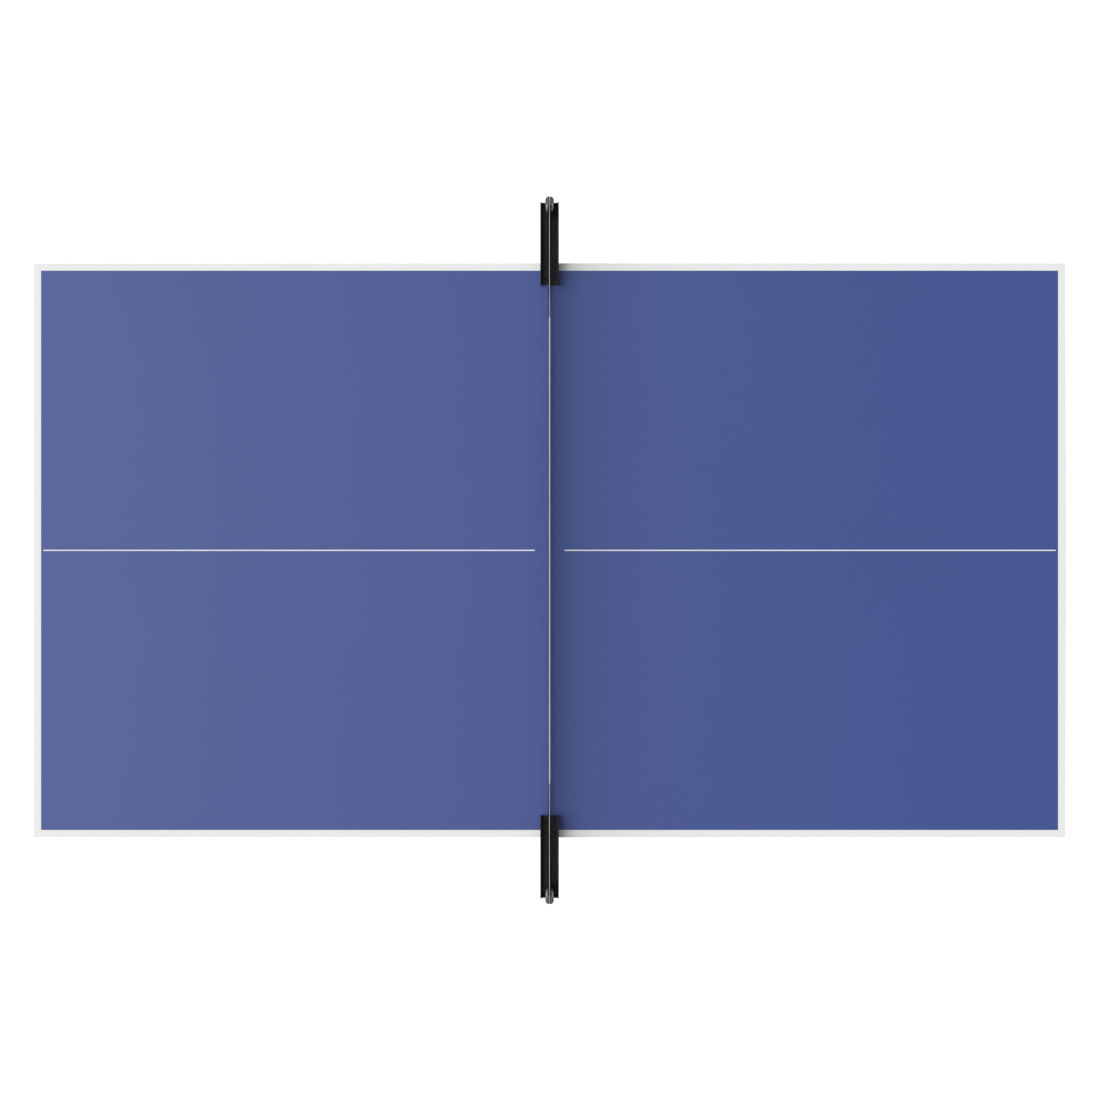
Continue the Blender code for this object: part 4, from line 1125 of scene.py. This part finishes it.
def column_shape(settings):
    """Column with its gusset plate, welds, foot plate and top cap."""
    low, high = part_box("column_right_back")
    hinge = joint_at("fold_right")
    link = joint_at("link_swing_right")
    seam_y = high.y - GUSSET
    near_y, far_y = low.y, seam_y + 0.001
    near_x, far_x = high.x - COLUMN_WIDTH, high.x
    cap_z = high.z - 0.003
    tube = square_tube((near_x, near_y, low.z), (far_x, far_y, cap_z), "Z", settings.corner, settings.wall)
    ear = hinge.x - low.x
    middle_x = (near_x + far_x) / 2
    outline = arc((hinge.x, hinge.z), ear, 90, 180, 8)
    outline += arc((hinge.x, link.z), ear, 180, 270, 8)
    outline += [(middle_x, link.z - ear), (middle_x, hinge.z + ear * 0.72)]
    gusset = softened(prism(outline, seam_y, high.y), 0.0007, 2, 40)
    foot_z = low.z + 0.004
    bottom = soft_block((near_x - 0.010, near_y - 0.002, low.z), (far_x + 0.010, far_y + 0.002, foot_z), 0.001)
    runs = [((x, near_y + 0.003, foot_z), (x, far_y - 0.003, foot_z)) for x in (near_x, far_x)]
    runs += [((near_x + 0.003, y, foot_z), (far_x - 0.003, y, foot_z)) for y in (near_y, far_y)]
    runs.append(((near_x, seam_y, link.z - ear + 0.004), (near_x, seam_y, hinge.z - 0.004)))
    welds = [bead_line(start, end, settings.weld) for start, end in runs]
    cap = soft_block((near_x, near_y, cap_z), (far_x, far_y - 0.001, high.z), 0.0012)
    spacer = ring(0.0095, 0.0052, (hinge.x, high.y, hinge.z), (hinge.x, high.y + 0.0034, hinge.z), 24)
    return gather(tube, gusset, bottom, *welds, painted(cap, 1), painted(spacer, 2))


def stud_place():
    """Where the stud of the storage hook is: there the turned hook drops over it when a half stands up."""
    hinge = joint_at("fold_right")
    pivot = joint_at("hook_right_turn")
    stood_x = hinge.x - (pivot.z - hinge.z)
    stood_z = hinge.z - (hinge.x - pivot.x)
    angle = math.radians(JOINTS["hook_right_turn"]["range_deg"][1])
    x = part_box("column_right_front")[1].x - COLUMN_WIDTH / 2
    return x, stood_z - (x - stood_x) / math.tan(angle)


def stud_shape():
    """Stud on a front column that the storage hook drops over, with a rounded head."""
    out = -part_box("column_right_front")[0].y
    gusset_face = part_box("column_right_back")[1].y
    x, z = stud_place()
    outline = [(0, gusset_face - 0.008), (0.0040, gusset_face - 0.008), (0.0040, out - 0.0006)]
    outline += [(0.0034, out), (0, out)]
    pin = aimed(turned(outline, 20), OUT_Y, (x, 0, z))
    collar = ring(0.0075, 0.003, (x, gusset_face - 0.0065, z), (x, gusset_face - 0.0035, z), 24)
    return gather(pin, collar)


def cross_tube_shape(settings):
    """Cross tube welded between the base beams."""
    low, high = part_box("cross_tube_right")
    tube = square_tube(low, high, "Y", settings.corner, settings.wall)
    welds = []
    for row in (-1, 1):
        y = row * high.y
        for x in (low.x, high.x):
            welds.append(bead_line((x, y, low.z + 0.004), (x, y, high.z - 0.004), settings.weld))
        for z in (low.z, high.z):
            welds.append(bead_line((low.x + 0.004, y, z), (high.x - 0.004, y, z), settings.weld))
    return gather(tube, *welds)


def support_shape(settings):
    """Bent tube that carries a net arm, with a foot plate, a weld and a sleeve at its top."""
    low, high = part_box("net_support_back")
    beam_low, beam_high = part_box("base_beam_back")
    start_y = (beam_low.y + beam_high.y) / 2
    radius = (high.x - low.x) / 2
    end_y = high.y - radius
    bend_low, bend_high, steps = 0.500, 0.600, 14
    path = [(0, start_y, low.z), (0, start_y, bend_low - 0.01)]
    for i in range(steps + 1):
        share = i / steps
        y = start_y + (end_y - start_y) * share * share * (3 - 2 * share)
        path.append((0, y, bend_low + (bend_high - bend_low) * share))
    path += [(0, end_y, bend_high + 0.01), (0, end_y, high.z)]
    tube = swept(path, [radius] * len(path), ROUND)
    foot = [(0, 0), (radius * 1.42, 0), (radius * 1.42, 0.003), (0, 0.003)]
    base = softened(aimed(turned(foot), UP, (0, start_y, low.z)), 0.0008)
    weld = bead_ring((0, start_y, low.z + 0.0034), UP, radius, settings.weld)
    clamp = [(radius, 0), (radius * 1.12, 0.001), (radius * 1.12, 0.016), (radius, 0.017)]
    sleeve = aimed(turned(clamp), UP, (0, end_y, high.z - 0.0175))
    return gather(tube, base, weld, painted(sleeve, 1))


class TABLE_OT_trolley(bpy.types.Operator):
    """Make the trolley's beams, cross tubes, columns and net supports"""

    bl_idname = "table_tennis.trolley"
    bl_label = "Trolley"

    def execute(self, context):
        settings = context.scene.table_frame
        capped = ("grey powder coat", "black plastic", "nylon")
        for row_name, row in ROWS:
            shape = mirrored(beam_shape(settings), 1, row)
            piece(f"beam_{row_name}", shape, capped, "trolley", (f"base_beam_{row_name}",))
            support = mirrored(support_shape(settings), 1, row)
            nodes = (f"net_support_{row_name}",)
            piece(f"support_tube_{row_name}", support, capped, "trolley", nodes)
        for side_name, side in SIDES:
            tube = mirrored(cross_tube_shape(settings), side, 1)
            nodes = (f"cross_tube_{side_name}",)
            piece(f"tie_tube_{side_name}", tube, ("grey powder coat",), "trolley", nodes)
            for row_name, row in ROWS:
                suffix = f"{side_name}_{row_name}"
                shape = mirrored(column_shape(settings), side, row)
                piece(f"upright_{suffix}", shape, capped, "trolley", (f"column_{suffix}",))
                if row_name == HOOKED_ROW:
                    stud = mirrored(stud_shape(), side, row)
                    piece(f"hook_stud_{side_name}", stud, ("zinc plate",), "trolley", ())
        return {"FINISHED"}


# ---------------------------------------------------------------- casters


def fork_shape(braked):
    """Caster fork with its swivel head, axle bolt and stem, about the swivel's axis."""
    row = "front" if braked else "back"
    stem_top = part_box(f"caster_fork_right_{row}")[1].z
    swivel = joint_at(f"caster_right_{row}_swivel")
    axle = joint_at(f"wheel_right_{row}_spin")
    trail = axle.x - swivel.x
    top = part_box("base_beam_back")[0].z - 0.0205
    inner, outer = 0.0145, 0.0175
    half = 0.021
    plates = []
    outline = [(-half, top), (-half, top - 0.012)]
    outline += arc((trail, axle.z), 0.0115, 205, 360, 12)
    if braked:
        pin = joint_at("brake_right_front_press")
        outline += arc((pin.x - swivel.x, pin.z), 0.0062, 0, 90, 5)
    outline += [(half, top - 0.0015), (half, top)]
    for sign in (-1, 1):
        span = sorted((sign * inner, sign * outer))
        plates.append(softened(prism(outline, *span), 0.0006, 2, 50))
    crown = soft_block((-half, -outer, top - 0.003), (half, outer, top), 0.0010)
    race = [(0, -0.002), (0.0175, -0.002), (0.0180, 0.0), (0.0180, 0.0055), (0.0150, 0.0075), (0.0150, 0.0088)]
    race += [(0.0178, 0.0100), (0.0180, 0.0150), (0.0165, 0.0185), (0.0150, 0.0200), (0, 0.0200)]
    head = aimed(turned(race), UP, (0, 0, top))
    stem = rod(0.006, (0, 0, top + 0.018), (0, 0, stem_top), 20)
    reach = 0.0205
    rivet = aimed(turned([(0, -0.0028), (0.0045, -0.0020), (0.0058, 0.0), (0, 0.0)], 20), UP, (0, 0, top - 0.0028))
    bolt = rod(0.004, (trail, -reach, axle.z), (trail, reach, axle.z), 16)
    bolt_head = hex_head(0.012, 0.0026, (trail, outer, axle.z), OUT_Y, 0.0008)
    nut = hex_head(0.012, 0.0030, (trail, -outer, axle.z), IN_Y, 0.0008)
    shapes = [crown, *plates, head, stem, rivet, bolt, bolt_head, nut]
    if braked:
        x, z = pin.x - swivel.x, pin.z
        shapes.append(rod(0.003, (x, -outer - 0.0012, z), (x, outer + 0.0012, z), 16))
    shape = gather(*shapes)
    bmesh.ops.translate(shape, vec=(swivel.x, 0, 0), verts=shape.verts)
    return shape


def wheel_shape():
    """Wheel about the axle: a rounded rubber tread on a spoked plastic hub."""
    axle = joint_at("wheel_right_back_spin")
    radius = axle.z
    half = 0.011
    tread = [(radius * 0.74, -half * 0.86), (radius * 0.90, -half * 0.96)]
    tread += [(radius - 0.0045 + 0.0045 * math.sin(math.radians(a)), -half * 0.55 - half * 0.41 * math.cos(math.radians(a)))
              for a in (15, 40, 65, 85)]
    tread += [(r, -h) for r, h in reversed(tread)]
    tyre = turned(tread, 64)
    rim = [(radius * 0.66, -half * 0.98), (radius * 0.745, -half), (radius * 0.77, -half * 0.90), (radius * 0.77, half * 0.90)]
    rim += [(radius * 0.745, half), (radius * 0.66, half * 0.98), (radius * 0.63, half * 0.42), (radius * 0.63, -half * 0.42)]
    hoop = turned(rim, 48)
    web = turned([(0.006, -half * 0.25), (radius * 0.65, -half * 0.25), (radius * 0.65, half * 0.25), (0.006, half * 0.25)], 48)
    hub = turned([(0.0045, -half), (radius * 0.26, -half), (radius * 0.30, -half * 0.88), (radius * 0.30, half * 0.88),
                  (radius * 0.26, half), (0.0045, half)], 32)
    spokes = []
    for i in range(8):
        spoke = soft_block((radius * 0.26, -0.0011, -half * 0.72), (radius * 0.66, 0.0011, half * 0.72), 0.0006)
        bmesh.ops.rotate(spoke, matrix=Matrix.Rotation(math.tau * i / 8, 3, "Z"), verts=spoke.verts)
        spokes.append(spoke)
    plastic = painted(gather(hoop, web, hub, *spokes), 1)
    shape = gather(tyre, plastic)
    return aimed(shape, OUT_Y, (axle.x, 0, axle.z))


def brake_shape():
    """Brake pedal with a ribbed tread and a shoe, about its pin."""
    pin = joint_at("brake_right_front_press")
    low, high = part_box("brake_lever_right_front")
    middle = (low.y + high.y) / 2
    width = (high.y - low.y) / 2
    hub = 0.0065
    reach = high.x - pin.x
    bottom = low.z - pin.z + 0.0005
    shoe = hub * 1.6
    outline = arc((0, 0), hub, 90, 200, 6)
    outline += [(shoe - hub / 2, bottom), (shoe + hub / 2, bottom), (shoe + hub, 0.0)]
    outline += [(reach * 0.6, hub * 0.15), (reach - 0.002, hub * 0.5)]
    outline += [(reach, hub * 0.8), (reach - 0.001, hub * 1.35), (reach - 0.004, hub * 1.5)]
    shape = softened(prism(outline, -width, width), 0.0008, 2, 50)
    ribs = []
    for i in range(5):
        x = reach * (0.52 + 0.09 * i)
        z = hub * (1.0 + 0.5 * x / reach) - 0.0006
        ribs.append(soft_block((x, -width * 0.84, z), (x + 0.0022, width * 0.84, z + 0.0014), 0.0004))
    shape = gather(shape, *ribs)
    bmesh.ops.translate(shape, vec=(pin.x, 0, pin.z), verts=shape.verts)
    return shape


def at_row(shape):
    """Carry a caster's piece, made on the plane y 0, out to its row."""
    swivel = joint_at("caster_right_back_swivel")
    bmesh.ops.translate(shape, vec=(0, swivel.y, 0), verts=shape.verts)
    return shape


class TABLE_OT_casters(bpy.types.Operator):
    """Make the casters and their brake pedals"""

    bl_idname = "table_tennis.casters"
    bl_label = "Casters"

    def execute(self, context):
        for side_name, side in SIDES:
            for row_name, row in ROWS:
                suffix = f"{side_name}_{row_name}"
                braked = f"brake_{suffix}_press" in JOINTS
                fork = mirrored(at_row(fork_shape(braked)), side, row)
                body = f"caster_{suffix}"
                piece(f"fork_{suffix}", fork, ("zinc plate",), body, (f"caster_fork_{suffix}",))
                wheel = mirrored(at_row(wheel_shape()), side, row)
                finishes = ("tyre rubber", "wheel plastic")
                nodes = (f"caster_wheel_{suffix}",)
                piece(f"wheel_{suffix}", wheel, finishes, f"wheel_{suffix}", nodes)
                if braked:
                    lever = mirrored(at_row(brake_shape()), side, row)
                    nodes = (f"brake_lever_{suffix}",)
                    piece(f"pedal_{suffix}", lever, ("black plastic",), f"brake_{suffix}", nodes)
        return {"FINISHED"}


# ---------------------------------------------------------------- net


def arm_shape():
    """Pressed channel with rounded bends, tips at its corners, an end plug, screws and a pad."""
    low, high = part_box("net_arm_back")
    plate = 0.003
    half = high.x + ARM_BULGE
    tip = 0.0020
    low.y -= ARM_NOSE
    floor = block((-half, low.y + tip, low.z), (half, high.y - tip, low.z + plate))
    long_edges = [e for e in floor.edges if abs(e.verts[0].co.y - e.verts[1].co.y) > MERGE and e.verts[0].co.z < low.z + MERGE]
    bevelled(floor, long_edges, 0.0022, 4)
    shapes = [softened(floor, 0.0004, 1, 60)]
    for sign in (-1, 1):
        span = sorted((sign * half, sign * (half - plate)))
        wall = block((span[0], low.y, low.z + 0.0016), (span[1], high.y, high.z))
        ends = [e for e in wall.edges if abs(e.verts[0].co.x - e.verts[1].co.x) > MERGE]
        bevelled(wall, ends, 0.0030, 4)
        shapes.append(softened(wall, 0.0007, 2, 50))
        fillet_x = sign * (half - plate)
        corner = [(0.0, 0.0), (0.0025, 0.0), (0.0008, 0.0008), (0.0, 0.0025)]
        outline = [(fillet_x - sign * x, low.z + plate - 0.0002 + z) for x, z in corner]
        shapes.append(prism(outline, low.y + tip, high.y - tip))
    board_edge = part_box("tabletop_right")[1].y
    plug_low = (plate - half, high.y - 0.0056, low.z + plate - 0.0004)
    plug = soft_block(plug_low, (half - plate, high.y - 0.0024, high.z - 0.0016), 0.0008)
    shapes.append(painted(plug, 1))
    for y in (low.y + 0.018, board_edge - 0.014):
        for x in (-0.011, 0.011):
            shapes.append(painted(pan_screw(0.0042, (x, y, low.z + plate), UP), 0))
    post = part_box("net_post_back")
    post_y = (post[0].y + post[1].y) / 2
    shapes.append(bead_ring((0, post_y, low.z + plate + 0.0002), UP, 0.0102, 0.0012))
    lift = low.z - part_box("tabletop_right")[1].z
    pad_low = (-half + 0.004, low.y + 0.006, low.z - lift + 0.0003)
    pad = soft_block(pad_low, (half - 0.004, board_edge - 0.004, low.z + 0.0002), 0.0004)
    shapes.append(painted(pad, 2))
    return gather(*shapes)


def post_shape():
    """Tubular post."""
    low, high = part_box("net_post_back")
    y = (low.y + high.y) / 2
    outline = [(0, 0), (0.0100, 0), (0.0100, high.z - low.z - 0.017), (0, high.z - low.z - 0.017)]
    return aimed(turned(outline), UP, (0, y, low.z))


def cap_shape():
    """Moulded post cap in two halves, with the slot that the net's tape lies in."""
    low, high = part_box("net_post_back")
    y = (low.y + high.y) / 2
    radius = (high.x - low.x) / 2
    slot = 0.0012
    depth = 0.0155
    body = 0.018
    outline = [(0, 0), (radius - 0.0006, 0), (radius, 0.0006), (radius, body - 0.0022)]
    outline += [(radius - 0.0007, body - 0.0007), (radius - 0.0022, body), (0, body)]
    halves = []
    for sign in (-1, 1):
        half = turned(outline)
        geom = half.verts[:] + half.edges[:] + half.faces[:]
        cut = bmesh.ops.bisect_plane(
            half, geom=geom, dist=MERGE, plane_co=(sign * slot, 0, 0), plane_no=(-sign, 0, 0), clear_outer=True
        )
        rim = [item for item in cut["geom_cut"] if isinstance(item, bmesh.types.BMEdge)]
        bmesh.ops.contextual_create(half, geom=rim)
        bmesh.ops.recalc_face_normals(half, faces=half.faces)
        halves.append(softened(half, 0.0003, 1, 60))
    base = soft_block((-slot - 0.001, -radius * 0.96, 0.0003), (slot + 0.001, radius * 0.96, body - depth), 0.0003)
    shape = gather(*halves, base)
    bmesh.ops.translate(shape, vec=(0, y, high.z - body), verts=shape.verts)
    return shape


def holder_shape():
    """Slotted strip on the inner side of a post, which grips the end of the net."""
    low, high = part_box("net_post_back")
    net_low, net_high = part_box("net_mesh")
    half, slot, lap = 0.0055, 0.0011, 0.0028
    face = low.y + (high.x - 0.010) + 0.0012
    bottom, top = net_low.z + 0.001, net_high.z - 0.0022
    jaws = [soft_block((slot, net_high.y - lap, bottom), (half, face, top), 0.0007)]
    jaws.append(soft_block((-half, net_high.y - lap, bottom), (-slot, face, top), 0.0007))
    back = soft_block((-half + 0.0006, net_high.y + 0.0002, bottom + 0.0006), (half - 0.0006, face, top - 0.0006), 0.0004)
    return gather(*jaws, back)


def net_shape(settings):
    """Square mesh of cord between the posts, a little uneven as a real net hangs."""
    low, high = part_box("net_mesh")
    width, height = high.y - low.y, high.z - low.z
    columns, rows = round(width / settings.cell), round(height / settings.cell)
    shape = bmesh.new()
    bmesh.ops.create_grid(shape, x_segments=columns, y_segments=rows, size=0.5)
    to_wall = Matrix(((0, 0, 1), (1, 0, 0), (0, 1, 0)))
    bmesh.ops.rotate(shape, matrix=to_wall, verts=shape.verts)
    bmesh.ops.scale(shape, vec=(1, width, height - settings.cord), verts=shape.verts)
    bmesh.ops.translate(shape, vec=(low + high) / 2, verts=shape.verts)
    for vert in shape.verts:
        down = (high.z - vert.co.z) / height
        loose = math.sin(math.pi * down)
        sway = noise.noise(Vector((0.0, vert.co.y * 3.1, vert.co.z * 4.0)))
        jitter = noise.noise_vector(vert.co * 130.0)
        vert.co.x += 0.0007 * loose * sway
        vert.co.y += 0.0007 * loose * jitter.y
        vert.co.z += 0.0008 * loose * jitter.z
    bmesh.ops.wireframe(
        shape,
        faces=shape.faces[:],
        thickness=settings.cord * WIRE_SHARE,
        use_replace=True,
        use_boundary=True,
        use_even_offset=True,
    )
    return shape


def tape_shape(settings):
    """Folded tape over the net's top, as one thin skin."""
    low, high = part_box("net_top_tape")
    half = settings.tape_thickness / 2
    foot = half * 0.75
    outline = [(-foot, low.z)]
    outline += [(-foot - (half - foot) * i / 4, low.z + (high.z - low.z - half) * i / 4) for i in range(1, 4)]
    outline += arc((0, high.z - half), half, 180, 0, 10)
    outline += [(foot + (half - foot) * i / 4, low.z + (high.z - low.z - half) * i / 4) for i in range(3, -1, -1)]
    shape = bmesh.new()
    verts = [shape.verts.new((x, low.y, z)) for x, z in outline]
    edges = [shape.edges.new(pair) for pair in zip(verts, verts[1:])]
    steps = 150
    stride = (high.y - low.y) / steps
    for _ in range(steps):
        grown = bmesh.ops.extrude_edge_only(shape, edges=edges)["geom"]
        edges = [item for item in grown if isinstance(item, bmesh.types.BMEdge)]
        verts = [item for item in grown if isinstance(item, bmesh.types.BMVert)]
        bmesh.ops.translate(shape, vec=(0, stride, 0), verts=verts)
    for vert in shape.verts:
        down = (high.z - vert.co.z) / (high.z - low.z)
        vert.co.x += 0.00022 * down * noise.noise(Vector((vert.co.x * 90, vert.co.y * 24.0, 1.5)))
        vert.co.z -= 0.00035 * down * abs(noise.noise(Vector((4.0, vert.co.y * 17.0, vert.co.x * 90))))
    bmesh.ops.recalc_face_normals(shape, faces=shape.faces)
    outward = sum(face.normal.z * face.calc_area() for face in shape.faces)
    if outward < 0:
        bmesh.ops.reverse_faces(shape, faces=shape.faces)
    bmesh.ops.solidify(shape, geom=shape.faces[:], thickness=settings.cloth)
    bmesh.ops.recalc_face_normals(shape, faces=shape.faces)
    return shape


def hem_shape(settings):
    """Dark binding along the foot of the net and up its two ends."""
    low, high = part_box("net_mesh")
    thick = 0.0017
    shapes = []
    strips = [((-thick / 2, low.y, low.z), (thick / 2, high.y, low.z + settings.hem))]
    for row in (-1, 1):
        edge = sorted((row * high.y, row * (high.y - settings.hem)))
        strips.append(((-thick / 2, edge[0], low.z + 0.001), (thick / 2, edge[1], high.z)))
    for first, second in strips:
        shapes.append(soft_block(first, second, 0.0005))
    return gather(*shapes)


def stitch_shape(settings, side):
    """One stitch on a face of the tape, at its front end."""
    low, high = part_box("net_top_tape")
    face = settings.tape_thickness / 2 * 0.82
    z = low.z + 0.0035
    y = low.y + 0.004
    middle = side * face
    start = (middle - 0.00022, y, z - 0.00025)
    return soft_block(start, (middle + 0.00022, y + settings.stitch, z + 0.00025), 0.00012, 1)


def tie_shape(settings):
    """Cord ties that hold the end of the net to its post."""
    low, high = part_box("net_post_back")
    net_low, net_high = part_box("net_mesh")
    post_y = (low.y + high.y) / 2
    shapes = []
    for i in range(settings.ties):
        z = net_low.z + 0.012 + (net_high.z - 0.022 - net_low.z) * i / max(1, settings.ties - 1)
        path = []
        for k in range(28):
            angle = math.tau * k / 28
            pull = max(0.0, -math.sin(angle)) ** 6 * 0.0035
            path.append((0.0107 * math.cos(angle), post_y + 0.0107 * math.sin(angle) - pull, z + 0.0008 * math.sin(angle)))
        shapes.append(swept(path, [0.0006] * 28, 6, True))
    return gather(*shapes)


class TABLE_OT_posts(bpy.types.Operator):
    """Make the net arms, posts and caps"""

    bl_idname = "table_tennis.posts"
    bl_label = "Arms and posts"

    def execute(self, context):
        make_net_finishes(context.scene.table_net)
        for row_name, row in ROWS:
            shape = mirrored(arm_shape(), 1, row)
            finishes = ("black powder coat", "black plastic", "foot rubber")
            piece(f"arm_{row_name}", shape, finishes, "trolley", (f"net_arm_{row_name}",))
            post = mirrored(post_shape(), 1, row)
            nodes = (f"net_post_{row_name}",)
            piece(f"post_tube_{row_name}", post, ("satin chrome",), "trolley", nodes)
            cap = mirrored(cap_shape(), 1, row)
            piece(f"post_cap_{row_name}", cap, ("cap plastic",), "trolley", ())
            holder = mirrored(holder_shape(), 1, row)
            piece(f"net_holder_{row_name}", holder, ("black plastic",), "trolley", ())
        return {"FINISHED"}


class TABLE_OT_net(bpy.types.Operator):
    """Make the net, its tape, hems, stitching and ties"""

    bl_idname = "table_tennis.net"
    bl_label = "Net"

    def execute(self, context):
        settings = context.scene.table_net
        tape_low, tape_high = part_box("net_top_tape")
        tape = piece("net_tape", tape_shape(settings), ("tape cloth",), "trolley", ("net_top_tape",))
        count = int((tape_high.y - tape_low.y - 0.008) / (settings.stitch * 1.45))
        for side_name, side in SIDES:
            row = piece(f"tape_stitches_{side_name}", stitch_shape(settings, side), ("thread",), "trolley", ())
            repeat = row.modifiers.new("Row of stitches", "ARRAY")
            repeat.count = count
            repeat.use_relative_offset = False
            repeat.use_constant_offset = True
            repeat.constant_offset_displace = (0, settings.stitch * 1.45, 0)
        net = piece("net_cords", net_shape(settings), ("net cord",), "trolley", ("net_mesh",))
        hem = piece("net_hem", hem_shape(settings), ("hem cloth",), "trolley", ())
        ties = gather(mirrored(tie_shape(settings), 1, 1), mirrored(tie_shape(settings), 1, -1))
        tied = piece("net_ties", ties, ("net cord",), "trolley", ())
        return {"FINISHED"}


# ---------------------------------------------------------------- stage


class TABLE_OT_stage(bpy.types.Operator):
    """Set the floor, the soft light and the camera above the table"""

    bl_idname = "table_tennis.stage"
    bl_label = "Stage"

    def execute(self, context):
        scene = context.scene
        settings = scene.table_stage
        shape = bmesh.new()
        bmesh.ops.create_grid(shape, x_segments=1, y_segments=1, size=settings.floor / 2)
        mesh = bpy.data.meshes.new("floor")
        shape.to_mesh(mesh)
        shape.free()
        paint = bpy.data.materials.new("pale floor")
        paint.use_nodes = True
        shader = paint.node_tree.nodes["Principled BSDF"]
        shader.inputs["Base Color"].default_value = (0.86, 0.86, 0.86, 1)
        shader.inputs["Roughness"].default_value = 0.9
        shader.inputs["Emission Color"].default_value = (1, 1, 1, 1)
        shader.inputs["Emission Strength"].default_value = settings.glow
        mesh.materials.append(paint)
        floor = bpy.data.objects.new("floor", mesh)
        scene.collection.objects.link(floor)
        world = bpy.data.worlds.new("even light")
        world.use_nodes = True
        sky = world.node_tree.nodes["Background"]
        sky.inputs["Color"].default_value = (1.0, 1.0, 1.0, 1)
        seen = world.node_tree.nodes.new("ShaderNodeLightPath").outputs["Is Camera Ray"]
        feed(world.node_tree, spread(world.node_tree, seen, 0.0, 1.0, settings.sky, 1.0), sky.inputs["Strength"])
        scene.world = world
        light = bpy.data.lights.new("key", "SUN")
        light.energy = settings.key
        light.angle = settings.key_softness
        key = bpy.data.objects.new("key", light)
        aim = Vector((math.cos(settings.key_height), 0, -math.sin(settings.key_height)))
        key.rotation_euler = aim.to_track_quat("-Z", "Y").to_euler()
        scene.collection.objects.link(key)
        camera_data = bpy.data.cameras.new("camera")
        camera_data.lens = settings.lens
        camera_data.sensor_width = 36.0
        camera = bpy.data.objects.new("camera", camera_data)
        camera.location = (0, 0, settings.height)
        camera_data.shift_x, camera_data.shift_y = settings.shift
        scene.collection.objects.link(camera)
        scene.camera = camera
        scene.view_settings.view_transform = "Standard"
        return {"FINISHED"}


# ---------------------------------------------------------------- panel and registration


MAKERS = (
    TABLE_OT_boards,
    TABLE_OT_aprons,
    TABLE_OT_pins,
    TABLE_OT_legs,
    TABLE_OT_trolley,
    TABLE_OT_casters,
    TABLE_OT_posts,
    TABLE_OT_net,
    TABLE_OT_stage,
)


class TABLE_PT_panel(bpy.types.Panel):
    """Sizes, colours and makers of the table"""

    bl_label = "Table Tennis Table"
    bl_idname = "TABLE_PT_panel"
    bl_space_type = "VIEW_3D"
    bl_region_type = "UI"
    bl_category = "Table"

    def draw(self, context):
        for name in SETTINGS:
            column = self.layout.column(align=True)
            group = getattr(context.scene, name)
            for key in group.bl_rna.properties.keys():
                if key not in ("rna_type", "name"):
                    column.prop(group, key)
        for maker in MAKERS:
            self.layout.operator(maker.bl_idname)


SETTINGS = {
    "table_board": BoardSettings,
    "table_frame": FrameSettings,
    "table_net": NetSettings,
    "table_stage": StageSettings,
}
CLASSES = (*SETTINGS.values(), *MAKERS, TABLE_PT_panel)


def register():
    for kind in CLASSES:
        bpy.utils.register_class(kind)
    for name, kind in SETTINGS.items():
        setattr(bpy.types.Scene, name, PointerProperty(type=kind))


def unregister():
    for name in SETTINGS:
        delattr(bpy.types.Scene, name)
    for kind in reversed(CLASSES):
        bpy.utils.unregister_class(kind)


def main():
    register()
    make_groups()
    make_frame_finishes(bpy.context.scene.table_frame)
    for maker in MAKERS:
        group, call = maker.bl_idname.split(".")
        getattr(getattr(bpy.ops, group), call)()


if __name__ == "__main__":
    main()
